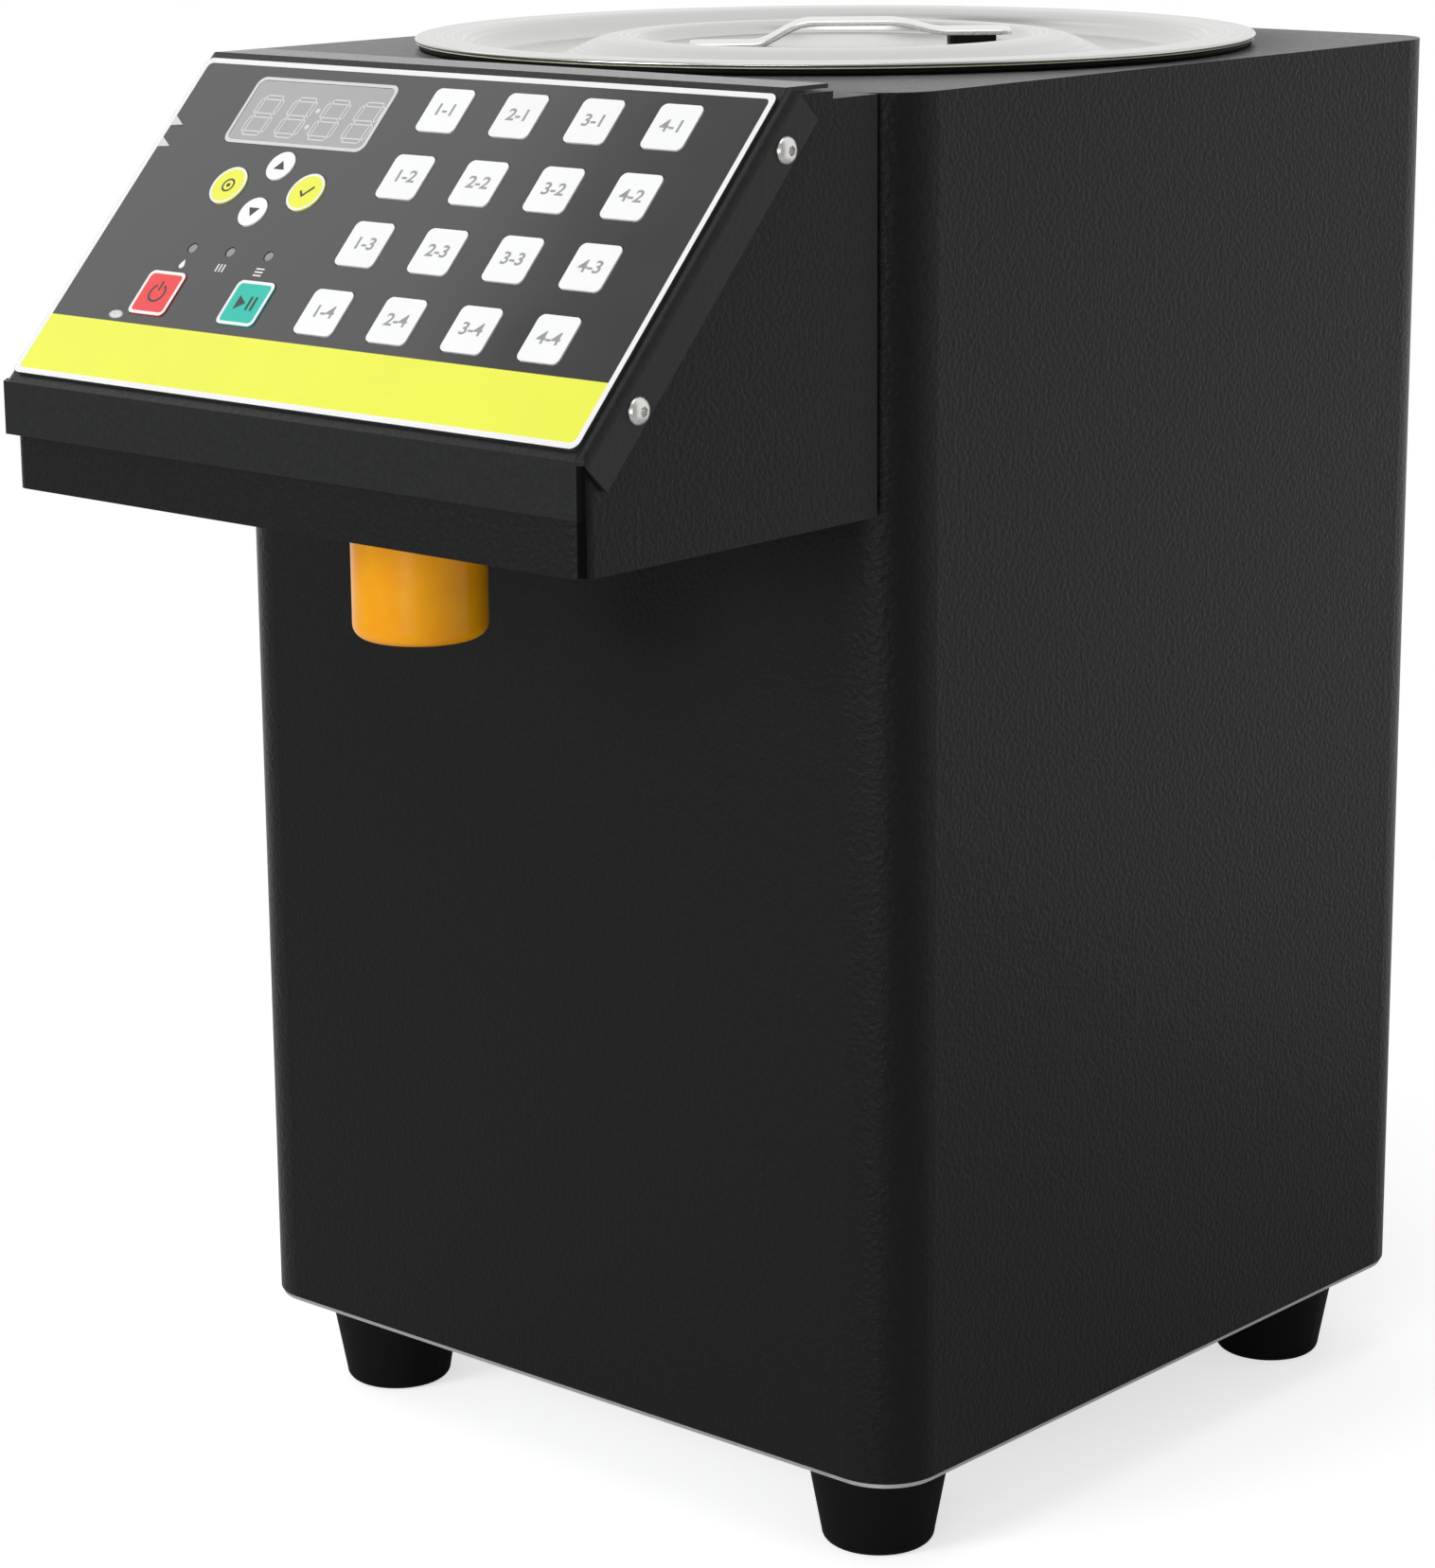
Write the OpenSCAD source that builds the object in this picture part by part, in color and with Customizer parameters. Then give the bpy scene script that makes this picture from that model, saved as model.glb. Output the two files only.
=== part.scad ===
// Countertop fructose dispenser: square cabinet with a lidded syrup tank, a sloping sixteen-key
// control head on its front, and a sleeved outlet nozzle under the head.
// X is to the viewer's right, Y to the back and Z up, in millimetres.
// The origin is the middle of the outer box, at the level of the feet.

/* [Cabinet] */
// outer width of the cabinet
body_w = 265; // [240:1:300]
// outer depth of the cabinet
body_d = 266; // [250:1:300]
// height of the cabinet from the base plate's underside to its top
body_h = 396; // [370:1:440]
// radius of the cabinet's upright corners
corner_r = 18; // [12:1:24]
// thickness of the cabinet's sheet
wall_t = 1.2; // [1:0.1:1.6]
// thickness of the base plate
base_t = 1.5; // [1.2:0.1:3]
// how far the base plate is set in from the cabinet's outside
base_inset = 0.8; // [0.4:0.1:1.5]
// width of the cabinet's inward flange at its bottom
flange_w = 14; // [12:1:20]

/* [Feet] */
// height of the rubber feet
foot_h = 30.5; // [20:0.5:40]
// radius of a foot at its top
foot_top_r = 21.8; // [18:0.1:24]
// radius of a foot at its bottom
foot_low_r = 16.8; // [13:0.1:20]
// distance of a foot's centre from the cabinet's sides
foot_inset = 31.7; // [26:0.1:40]
// rounding of a foot's lower edge
foot_round = 3; // [1:0.5:5]

/* [Rear panel] */
// width of the rear service panel
rear_w = 215; // [190:1:225]
// height of the rear service panel
rear_h = 330; // [300:1:350]
// thickness of the rear service panel
rear_t = 1.2; // [1:0.1:1.6]
// how far the panel laps over the cabinet's opening
rear_lap = 15; // [12:1:20]
// length of one vent slot
vent_l = 42; // [30:1:60]
// width of one vent slot
vent_w = 4; // [3:0.5:6]
// number of vent slots in a column
vent_count = 8; // [4:1:12]
// height of the mains inlet above the base plate
inlet_up = 60; // [54:1:90]
// height of the power switch above the mains inlet
switch_up = 42; // [32:1:60]
// distance of the inlet and the switch from the middle, to the left
inlet_off = 62; // [45:1:75]

/* [Tank] */
// room between the syrup tank and the cabinet's front
tank_room = 18; // [15:0.5:30]
// wall of the syrup tank
tank_t = 1; // [0.8:0.1:1.5]
// depth of the syrup tank below its flange
tank_depth = 198; // [150:1:205]
// width of the tank's rolled flange
rim_w = 9; // [6:0.5:11]
// thickness of the tank's flange
rim_t = 1.2; // [1:0.1:2]
// thickness of the gasket under the flange
gasket_t = 1; // [0.6:0.1:2]
// rounding of the tank's bottom corner
tank_round = 12; // [6:1:20]
// distance of the outlet spigot behind the tank's middle
spigot_y = 75; // [60:1:90]
// thickness of the heater band
heater_t = 2; // [1.5:0.1:3]
// height of the heater band
heater_h = 46; // [30:1:60]

/* [Lid] */
// how far the lid reaches past the tank's flange
lid_over = 3.5; // [1.5:0.5:6]
// thickness of the lid's pressed sheet
lid_t = 0.8; // [0.6:0.1:1.2]
// thickness of the lid's rolled edge
lid_edge_t = 1.4; // [1.2:0.1:3]
// width of the lid's rolled edge
lid_edge_w = 6; // [5:0.5:8]
// width of the lid's flat rim
lid_rim_w = 15.5; // [12:0.5:18]
// width of the moat's outer wall, seen from above
moat_wall = 6; // [4:0.5:12]
// width of the moat's floor
moat_w = 22; // [10:0.5:24]
// depth of the moat below the rim
moat_depth = 6.3; // [4:0.1:9]
// radius of the raised middle
crown_r = 70; // [60:0.5:75]
// height of the rim above the raised middle
crown_drop = 0.4; // [0:0.1:2]
// radius of the well in the raised middle
well_r = 60; // [56:0.5:66]
// width of the well's wall, seen from above
well_wall = 2.5; // [1.5:0.1:4]
// depth of the well's floor below the rim
well_depth = 4.3; // [3:0.1:6]
// length of the strap handle
handle_l = 97.6; // [90:0.1:104]
// how far the strap handle's middle lies off the lid's middle
handle_off = 4.8; // [0:0.1:6]
// width of the strap handle
handle_w = 22; // [16:1:30]
// thickness of the strap handle
handle_t = 1.5; // [1:0.1:2]
// rise of the strap handle's underside
handle_rise = 6.6; // [5.6:0.1:12]
// length of each foot of the strap handle
handle_foot = 18.8; // [14:0.1:22]
// length of the strap handle's level top
handle_top = 23; // [10:1:30]
// thickness of the rubber pad under one foot
pad_t = 3.6; // [2:0.1:4]
// length of the rubber pad
pad_l = 14.1; // [10:0.1:18]
// turn of the lid about its middle
lid_turn = 41; // [0:1:90]

/* [Control head] */
// left edge of the head's cover, from the cabinet's middle
cover_left = -95.5; // [-110:0.5:-80]
// right edge of the head's cover, from the cabinet's middle
cover_right = 127.5; // [110:0.5:130]
// reach of the head in front of the cabinet
head_reach = 117.5; // [110:0.5:130]
// height of the top of the lip above the base plate's underside
lip_top = 313.2; // [290:0.1:320]
// height of the lip
lip_h = 15; // [12:0.5:20]
// slope of the panel
slope_angle = 46.5; // [40:0.5:52]
// length of the slope
slope_len = 119.5; // [115:0.1:125]
// thickness of the cover's sheet
cover_t = 1.2; // [1:0.1:1.6]
// outer radius of the cover's side bends
cover_bend = 3; // [1.5:0.1:4]
// depth of the cover's side flanges
flange_d = 12.6; // [10:0.1:16]
// length of the cover's level flange at the top
top_flange = 17; // [12:0.5:24]
// gap between the cover and the tray
tray_gap = 0.4; // [0.2:0.1:0.8]
// thickness of the tray's sheet
tray_t = 1.5; // [1:0.1:2]
// radius of the tray's front corners
tray_corner = 4.5; // [3:0.5:8]
// height of the tray's underside above the base plate's underside
tray_low = 282.9; // [270:0.1:290]

/* [Panel] */
// left edge of the printed overlay, from the cabinet's middle
overlay_left = -93; // [-108:0.5:-78]
// right edge of the printed overlay, from the cabinet's middle
overlay_right = 124.4; // [108:0.1:128]
// lower edge of the overlay, up the slope
overlay_low = 2.9; // [2:0.1:6]
// upper edge of the overlay, up the slope
overlay_high = 116.6; // [112:0.1:118]
// thickness of the overlay
overlay_t = 1; // [0.8:0.1:1.4]
// corner radius of the overlay
overlay_corner = 2.6; // [2:0.1:8]
// distance between the columns of the keypad
key_dx = 27.7; // [24:0.1:29]
// distance between the rows of the keypad
key_dy = 23.1; // [19:0.1:24]
// place of the first column, from the cabinet's middle
key_x0 = 12.3; // [8:0.1:16]
// place of the lowest row, up the slope
key_y0 = 34.2; // [32:0.1:38]
// width of a square key
key_w = 14.8; // [12:0.1:17]
// length of a square key
key_l = 14.8; // [12:0.1:17]
// corner radius of a square key
key_round = 2; // [1:0.5:4]
// how far a key stands out of the overlay
key_proud = 0.35; // [0.1:0.05:0.6]
// travel of a key
key_travel = 0.4; // [0.2:0.05:0.45]
// gap round a key
key_gap = 0.25; // [0.15:0.05:0.5]
// middle of the round keys, from the cabinet's middle
pad_x = -37; // [-45:0.1:-35]
// middle of the round keys, up the slope
pad_y = 72.4; // [70:0.1:76]
// distance of the large round keys from their middle
pad_dx = 15.7; // [14:0.1:18]
// distance of the small round keys from their middle
pad_dy = 8.1; // [7.5:0.1:10]
// radius of a large round key
pad_big_r = 6.4; // [5:0.1:7]
// radius of a small round key
pad_small_r = 4.9; // [4:0.1:5.5]
// middle of the two coloured square keys and of the lamps, from the cabinet's middle
duo_x = -36.4; // [-45:0.1:-35]
// distance between the two coloured square keys
duo_dx = 36.1; // [30:0.1:40]
// middle of the display window, from the cabinet's middle
window_x = -38.2; // [-45:0.1:-35]
// width of the display window
window_w = 56.8; // [51:0.1:60]
// height of the display window
window_h = 23.6; // [20:0.1:26]
// middle of the display window, up the slope
window_y = 99.2; // [98:0.1:102]
// distance between the indicator lamps
lamp_dx = 15.5; // [12:0.1:18]
// place of the indicator lamps, up the slope
lamp_y = 50.4; // [49:0.1:54]
// radius of an indicator lamp
lamp_r = 1.5; // [1:0.1:2.5]

/* [Nozzle] */
// distance of the nozzle from the cabinet's front
nozzle_out = 67; // [55:0.5:80]
// place of the nozzle, from the cabinet's middle
nozzle_x = 18; // [0:0.5:30]
// outer radius of the nozzle's sleeve
sleeve_r = 18.9; // [16:0.1:22]
// wall of the sleeve
sleeve_t = 2.3; // [1.8:0.1:3]
// length of the sleeve
sleeve_h = 36; // [30:0.5:45]
// rounding of the sleeve's lower edge
sleeve_round = 4; // [4:0.5:9]
// radius of the opening in the sleeve's bottom
sleeve_hole_r = 10.5; // [9.5:0.1:11]
// radius of the outlet bore
outlet_r = 4; // [3:0.1:4.5]
// opening stroke of the anti-drip valve
valve_stroke = 2; // [1:0.1:4]

/* [Pump] */
// distance between the shafts of the gear pump
gear_distance = 24; // [20:0.5:30]
// teeth of each pump gear
gear_teeth = 12; // [9:1:14]
// width of the pump gears
gear_w = 14; // [10:0.5:18]
// radius of the pump's shafts
shaft_r = 4; // [3:0.1:5]
// running clearance of the shafts
shaft_gap = 0.05; // [0.02:0.01:0.1]
// height of the pump above the base plate
pump_up = 58; // [50:0.5:75]
// outer radius of the syrup hose
hose_r = 6; // [5:0.1:6.5]
// radius of the hose's bore
hose_bore_r = 4; // [3:0.1:4.5]
// bend radius of the hose at its middle
hose_bend = 20; // [15:0.5:24]
// radius of the pump motor
motor_r = 21; // [16:0.5:24]
// length of the pump motor
motor_l = 68; // [50:1:80]

/* [Hidden] */
$fn = 96;
eps = 0.01;
touch = 0.05;
screw_r = 2;
screw_hole_r = 2.2;
screw_head_r = 3.8;
screw_head_h = 2.2;
screw_hex_r = 1.45;
nut_r = 3.9;
nut_t = 3.2;
foot_screw_r = 2.5;
foot_screw_head_r = 4.5;
foot_screw_head_h = 4;
foot_pocket_r = 5.6;
foot_grip = 10;
rear_hole_in = 7.5;

half_w = body_w / 2;
half_d = body_d / 2;
front_y = -half_d;
back_y = half_d;
base_top = foot_h + base_t;
top_z = foot_h + body_h;

// the head's outline
lip_y = front_y - head_reach;
lip_z = foot_h + lip_top;
tray_z = foot_h + tray_low;
slope_top_y = lip_y + slope_len * cos(slope_angle);
slope_top_z = lip_z + slope_len * sin(slope_angle);
tray_front = lip_y + cover_t + tray_gap;
tray_left = cover_left + cover_t + tray_gap;
tray_right = cover_right - cover_t - tray_gap;
under_gap = 0.7;
lip_seam = 0.3;
step_y = slope_top_y + top_flange;
strip_z = slope_top_z - cover_t - under_gap;
cover_mid = (cover_left + cover_right) / 2;
cover_w = cover_right - cover_left;

// the rear fittings
inlet_z = foot_h + inlet_up;
switch_z = inlet_z + switch_up;
inlet_flange_t = 3;
inlet_flange_w = 50;
inlet_flange_h = 23;
inlet_body_w = 27.4;
inlet_body_h = 19.6;
inlet_body_l = 21;
inlet_hole_w = 24;
inlet_hole_h = 16.2;
inlet_hole_l = 17;
inlet_screw_dx = 20;
fit_gap = 0.3;
switch_w = 21;
switch_h = 15;
switch_lip_t = 1.8;
switch_body_w = 18.6;
switch_body_h = 12.6;
switch_body_l = 17;
switch_well_w = 16;
switch_well_h = 10.4;
switch_well_l = 9.5;
rocker_w = 14.2;
rocker_r = 11;
rocker_pin_r = 1.2;
rocker_tilt = 7;

// the outer box, which the origin is taken from
rear_end_y = back_y + rear_t + inlet_flange_t + screw_head_h;
mid_y = (lip_y + rear_end_y) / 2;

// the lid, seated on the tank's flange
seat_gap = 0.3;
tank_r = half_d - tank_room;
rim_r = tank_r + rim_w;
lid_r = rim_r + lid_over;
lid_rim_in = lid_r - lid_rim_w;
moat_out = lid_rim_in - moat_wall;
moat_in = moat_out - moat_w;
flange_z = top_z + gasket_t;
lid_z = flange_z + rim_t + seat_gap + lid_edge_t;

// the tank
tank_floor_z = flange_z - tank_depth;
tank_hole_r = tank_r + 1;
tank_seam_z = tank_floor_z + tank_round + 4;
spigot_r = hose_bore_r;
spigot_bore_r = 2.8;
spigot_l = 15;
heater_gap = 0.2;
heater_lift = 8;
heater_split = 10;
float_x = -60;
float_y = 20;
float_stem_r = 3;
float_r = 12;
float_h = 16;
float_gap = 0.4;
float_lift = 6;
float_travel = 30;
float_cap_r = 6;
float_cap_t = 3;

// the pump
pump_z = foot_h + base_t + pump_up;
pump_t = 24;
pump_half = 30;
cavity_gap = 0.15;
gear_pitch_r = gear_distance / 2;
gear_tip = 1.6;
gear_root = 2.2;
gear_pressure = 28;
gear_backlash = 0.9;
gear_tip_r = gear_pitch_r + gear_tip;
gear_root_r = gear_pitch_r - gear_root;
gear_base_r = gear_pitch_r * cos(gear_pressure);
tooth_steps = 5;
cover_plate_t = 9;
journal_l = 6;
drive_z = pump_z + gear_distance / 2;
driven_z = pump_z - gear_distance / 2;
gear_x = nozzle_x - gear_w / 2;
pump_front_x = gear_x - cavity_gap;
pump_back_x = pump_front_x + pump_t;
bracket_t = 3;
bracket_foot = 34;
motor_x = pump_back_x + bracket_t;
motor_socket = 14;
motor_neck_r = 12;
port_l = 14;
hose_lap = 13;
hose_slip = 0.05;

// the nozzle
nozzle_y = front_y - nozzle_out;
collar_r = sleeve_r - sleeve_t - 0.1;
collar_h = 10;
shank_r = 10.5;
shank_l = 22;
spout_r = 9;
spout_l = 30;
spring_seat = 6;
chamber_r = 6;
valve_roof = 2;
nozzle_flange_r = 16;
nozzle_flange_t = 3;
barb_low = 16;
barb_high = 32;
poppet_t = 3;
poppet_gap = 0.05;
wire_r = 0.45;
spring_r = 3.4;
spring_turns = 6;

// the hose's route
hose_down_y = front_y + wall_t + 7.8;
hose_over_z = tray_z + barb_high + hose_bend + 2;

// the electronics
board_drop = 14;
board_t = 1.6;
board_edge = 8;
display_depth = 9;
post_r = 3;
supply_w = 78;
supply_l = 110;
supply_h = 38;
supply_x = -half_w + 20.5;
supply_y = -62;
supply_lift = 4;
wire_bundle_r = 3;
wire_inset = 25;
wire_step = 16;
wire_end_gap = 0.4;

SQUARE_KEYS = [for (c = [1:4]) for (r = [1:4]) [c, r]];
KEY_NAMES = [for (k = SQUARE_KEYS) str("key_", k[0], "_", k[1])];
BODY_NODES = ["body_shell", "rear_panel", "base_plate", "feet", "screws"];
TANK_NODES = ["tank", "tank_bottom", "tank_gasket", "heater_band", "float_stem", "level_float"];
PUMP_NODES = ["pump_body", "pump_cover", "drive_gear", "driven_gear", "pump_motor",
    "motor_bracket", "suction_hose", "delivery_hose", "hose_clamps"];
NOZZLE_NODES = ["nozzle_body", "nozzle_nut", "valve_poppet", "valve_spring", "nozzle_sleeve"];
HEAD_NODES = ["head_tray", "head_cover", "panel_overlay", "display_module",
    "indicator_lamps", "control_board"];
POWER_NODES = ["power_supply", "power_inlet", "switch_frame", "power_rocker", "wiring"];
LID_NODES = ["lid", "lid_handle"];
ODD_KEYS = ["key_set", "key_save", "key_up", "key_down", "key_power", "key_run"];

// ---- helpers ----

// moves what is built about the cabinet's middle to the middle of the outer box
module framed() {
    translate([0, -mid_y, 0]) children();
}

// a flat plate in X and Y with round corners, centred, standing on Z = 0
module round_plate(w, d, h, r) {
    linear_extrude(h) round_outline(w, d, r);
}

module round_outline(w, d, r) {
    square([w - 2 * r, d], center = true);
    square([w, d - 2 * r], center = true);
    for (sx = [-1, 1]) for (sy = [-1, 1]) {
        translate([sx * (w / 2 - r), sy * (d / 2 - r)]) circle(r);
    }
}

// what is built flat on X and Y is laid on the slope: X across, Y up the slope, Z outward
module on_slope() {
    translate([0, lip_y, lip_z]) rotate([slope_angle, 0, 0]) children();
}

// what is built on X and Y faces backward from the cabinet's back, with Y upward
module on_back(x, z) {
    translate([x, back_y + rear_t, z]) rotate([90, 0, 180]) children();
}

// a screw with its head on Z = 0 and above, and its shank and nut below
module clamp_screw(grip, r = screw_r, head_r = screw_head_r, head_h = screw_head_h) {
    difference() {
        rotate_extrude() polygon(concat([[0, 0], [head_r, 0]],
            [for (a = [0:10:80]) [head_r * cos(a), head_h * sin(a)]], [[0, head_h]]));
        translate([0, 0, head_h * 0.4]) cylinder(r = screw_hex_r, h = head_h, $fn = 6);
    }
    translate([0, 0, -grip - nut_t - 1]) cylinder(r = r, h = grip + nut_t + 1 + eps);
    translate([0, 0, -grip - nut_t]) cylinder(r = nut_r, h = nut_t, $fn = 6);
}

// a bundle of wires swept along a route, whose corners are rounded over a reach
function unit(v) = v / norm(v);
function corner(a, p, b, reach) = let (p0 = p - unit(p - a) * reach, p1 = p + unit(b - p) * reach)
    [for (t = [0:0.25:1]) (1 - t) * (1 - t) * p0 + 2 * t * (1 - t) * p + t * t * p1];
function rounded(route, reach) = [route[0], for (i = [1:len(route) - 2])
    each corner(route[i - 1], route[i], route[i + 1], reach), route[len(route) - 1]];
function heading(p, i) = unit(p[min(i + 1, len(p) - 1)] - p[max(i - 1, 0)]);
module bundle(route, r, reach, sides = 8) {
    path = rounded(route, reach);
    n = len(path);
    aside = [0.31, 0.53, 0.79];
    points = [for (i = [0:n - 1]) let (t = heading(path, i), u = unit(cross(t, aside)), w = cross(t, u))
        for (k = [0:sides - 1]) path[i] + r * (u * cos(360 * k / sides) + w * sin(360 * k / sides))];
    walls = [for (i = [0:n - 2]) for (k = [0:sides - 1]) let (m = (k + 1) % sides)
        [i * sides + k, i * sides + m, (i + 1) * sides + m, (i + 1) * sides + k]];
    first = [for (k = [sides - 1:-1:0]) k];
    last = [for (k = [0:sides - 1]) (n - 1) * sides + k];
    polyhedron(points = points, faces = concat(walls, [first], [last]));
}

// a quarter bend of a tube in Y and Z about the origin; angles run from +Z towards +Y
module bend(a, r_out, r_in) {
    rotate([0, -90, 0]) rotate([0, 0, a]) rotate_extrude(angle = 90) difference() {
        translate([hose_bend, 0]) circle(r_out, $fn = 32);
        translate([hose_bend, 0]) circle(r_in, $fn = 32);
    }
}

module tube(h, r_out, r_in) {
    difference() {
        cylinder(r = r_out, h = h, $fn = 48);
        translate([0, 0, -1]) cylinder(r = r_in, h = h + 2, $fn = 48);
    }
}

// ---- cabinet ----

module body_shell() {
    color([0.17, 0.175, 0.175]) framed() difference() {
        translate([0, 0, base_top]) round_plate(body_w, body_d, top_z - base_top, corner_r);
        translate([0, 0, base_top + wall_t]) round_plate(body_w - 2 * wall_t, body_d - 2 * wall_t,
            top_z - base_top - 2 * wall_t, corner_r - wall_t);
        translate([0, 0, base_top - 1]) round_plate(body_w - 2 * flange_w, body_d - 2 * flange_w,
            wall_t + 2, corner_r - wall_t);
        translate([0, 0, top_z - wall_t - 1]) cylinder(r = tank_hole_r, h = wall_t + 2);
        head_pass();
        rear_opening();
        base_screw_places() translate([0, 0, -1]) cylinder(r = screw_hole_r, h = base_t + wall_t + 2);
        foot_places() translate([0, 0, base_t - 1]) cylinder(r = foot_grip, h = wall_t + 2);
        rear_screw_places() translate([0, 0, -rear_t - wall_t - 1]) {
            cylinder(r = screw_hole_r, h = rear_t + wall_t + 2);
        }
        head_screw_places() translate([0, 0, -1]) cylinder(r = screw_hole_r, h = wall_t + 2);
    }
}

// the way for the hose and the wires from the cabinet into the head
pass_left = -72;
pass_right = nozzle_x + hose_r + 6;
pass_low = tray_z + 18;
pass_high = hose_over_z + hose_r + 5;
module head_pass() {
    translate([pass_left, front_y - 1, pass_low]) {
        cube([pass_right - pass_left, wall_t + 2, pass_high - pass_low]);
    }
}

rear_z = foot_h + (body_h - rear_h) / 2;
module rear_opening() {
    w = rear_w - 2 * rear_lap;
    translate([-w / 2, back_y - wall_t - 1, rear_z + rear_lap]) {
        cube([w, wall_t + 2, rear_h - 2 * rear_lap]);
    }
}

module rear_screw_places() {
    for (sx = [-1, 1]) for (z = [rear_z + rear_hole_in, rear_z + rear_h - rear_hole_in]) {
        on_back(sx * (rear_w / 2 - rear_hole_in), z) children();
    }
}

module base_screw_places() {
    for (sx = [-1, 1]) translate([sx * (half_w - flange_w / 2 - wall_t), 0, foot_h]) children();
    for (sy = [-1, 1]) translate([0, sy * (half_d - flange_w / 2 - wall_t), foot_h]) children();
}

module foot_places() {
    for (sx = [-1, 1]) for (sy = [-1, 1]) {
        translate([sx * (half_w - foot_inset), sy * (half_d - foot_inset), foot_h]) children();
    }
}

module rear_panel() {
    color([0.17, 0.175, 0.175]) framed() difference() {
        translate([-rear_w / 2, back_y, rear_z]) cube([rear_w, rear_t, rear_h]);
        rear_screw_places() translate([0, 0, -rear_t - 1]) cylinder(r = screw_hole_r, h = rear_t + 2);
        on_back(-inlet_off, inlet_z) translate([0, 0, -rear_t - 1]) {
            linear_extrude(rear_t + 2) square([inlet_body_w + 2 * fit_gap, inlet_body_h + 2 * fit_gap],
                center = true);
            for (sx = [-1, 1]) translate([sx * inlet_screw_dx, 0, 0]) {
                cylinder(r = screw_hole_r, h = rear_t + 2);
            }
        }
        on_back(-inlet_off, switch_z) translate([0, 0, -rear_t - 1]) {
            linear_extrude(rear_t + 2) square([switch_body_w + 2 * fit_gap, switch_body_h + 2 * fit_gap],
                center = true);
        }
        vents();
    }
}

vent_pitch = 2.5 * vent_w;
vent_columns = 3;
vent_z = foot_h + body_h * 0.42;
module vents() {
    for (c = [0:vent_columns - 1]) for (i = [0:vent_count - 1]) {
        translate([(c - (vent_columns - 1) / 2) * vent_l * 1.25, back_y - 1, vent_z + i * vent_pitch]) {
            rotate([-90, 0, 0]) round_plate(vent_l, vent_w, rear_t + 2, vent_w / 2 - eps);
        }
    }
}

base_vent_x = half_w - flange_w - wall_t - vent_l / 2 - 8;
module base_plate() {
    color([0.3, 0.3, 0.31]) framed() difference() {
        translate([0, 0, foot_h]) round_plate(body_w - 2 * base_inset, body_d - 2 * base_inset, base_t,
            corner_r - base_inset);
        base_screw_places() translate([0, 0, -1]) cylinder(r = screw_hole_r, h = base_t + 2);
        foot_places() translate([0, 0, -1]) cylinder(r = foot_screw_r + 0.2, h = base_t + 2);
        bracket_screw_places() translate([0, 0, -bracket_t - base_t - 1]) {
            cylinder(r = screw_hole_r, h = base_t + 2);
        }
        for (i = [-3:3]) translate([base_vent_x, i * vent_pitch, foot_h - 1]) {
            round_plate(vent_l, vent_w, base_t + 2, vent_w / 2 - eps);
        }
    }
}

module feet() {
    color([0.08, 0.08, 0.08]) framed() foot_places() difference() {
        translate([0, 0, -foot_h]) rotate_extrude() polygon(foot_profile());
        translate([0, 0, -foot_h - 1]) cylinder(r = foot_pocket_r, h = foot_h - foot_grip + 1);
        translate([0, 0, -foot_h]) cylinder(r = foot_screw_r + 0.2, h = foot_h + 1);
    }
}

function foot_profile() = concat(
    [[0, 0]],
    [for (a = [-90:15:0]) [foot_low_r - foot_round + foot_round * cos(a), foot_round + foot_round * sin(a)]],
    [[foot_top_r, foot_h], [0, foot_h]]);

module screws() {
    color([0.72, 0.72, 0.7]) framed() {
        cover_screw_places() clamp_screw(cover_t + tray_gap + tray_t);
        head_screw_places() translate([0, 0, wall_t]) clamp_screw(wall_t + tray_t);
        rear_screw_places() clamp_screw(rear_t + wall_t);
        base_screw_places() mirror([0, 0, 1]) clamp_screw(base_t + wall_t);
        foot_places() translate([0, 0, -foot_grip]) mirror([0, 0, 1]) {
            clamp_screw(foot_grip + base_t, foot_screw_r, foot_screw_head_r, foot_screw_head_h);
        }
        for (sx = [-1, 1]) on_back(-inlet_off + sx * inlet_screw_dx, inlet_z) {
            translate([0, 0, inlet_flange_t]) clamp_screw(inlet_flange_t + rear_t);
        }
        bracket_screw_places() clamp_screw(bracket_t + base_t);
        pump_screw_places() translate([0, 0, -cover_plate_t]) mirror([0, 0, 1]) {
            clamp_screw(cover_plate_t + pump_t + bracket_t);
        }
    }
}

// ---- tank and lid ----

// the rolled wall with its flange, and below its weld the pressed bottom with the spigot
module tank() {
    z1 = flange_z + rim_t;
    ri = tank_r - tank_t;
    color([0.78, 0.78, 0.76]) framed() rotate_extrude() {
        polygon([[ri, tank_seam_z], [tank_r, tank_seam_z], [tank_r, flange_z], [rim_r, flange_z],
            [rim_r, z1], [ri, z1]]);
    }
}

module tank_bottom() {
    color([0.78, 0.78, 0.76]) framed() difference() {
        union() {
            rotate_extrude() polygon(bottom_profile());
            translate([nozzle_x, spigot_y, tank_floor_z - spigot_l]) {
                cylinder(r = spigot_r, h = spigot_l + tank_t / 2);
            }
        }
        translate([nozzle_x, spigot_y, tank_floor_z - spigot_l - 1]) {
            cylinder(r = spigot_bore_r, h = spigot_l + tank_t + 2);
        }
    }
}

function bottom_profile() = let (z0 = tank_floor_z, z1 = tank_seam_z - touch, ri = tank_r - tank_t,
        k = tank_round) concat(
    [[0, z0]],
    [for (a = [-90:15:0]) [tank_r - k + k * cos(a), z0 + k + k * sin(a)]],
    [[tank_r, z1], [ri, z1]],
    [for (a = [0:-15:-90]) [ri - (k - tank_t) + (k - tank_t) * cos(a),
        z0 + k + (k - tank_t) * sin(a)]],
    [[0, z0 + tank_t]]);

module tank_gasket() {
    color([0.75, 0.75, 0.72]) framed() translate([0, 0, top_z]) {
        tube(gasket_t, rim_r - 0.5, tank_hole_r);
    }
}

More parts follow.
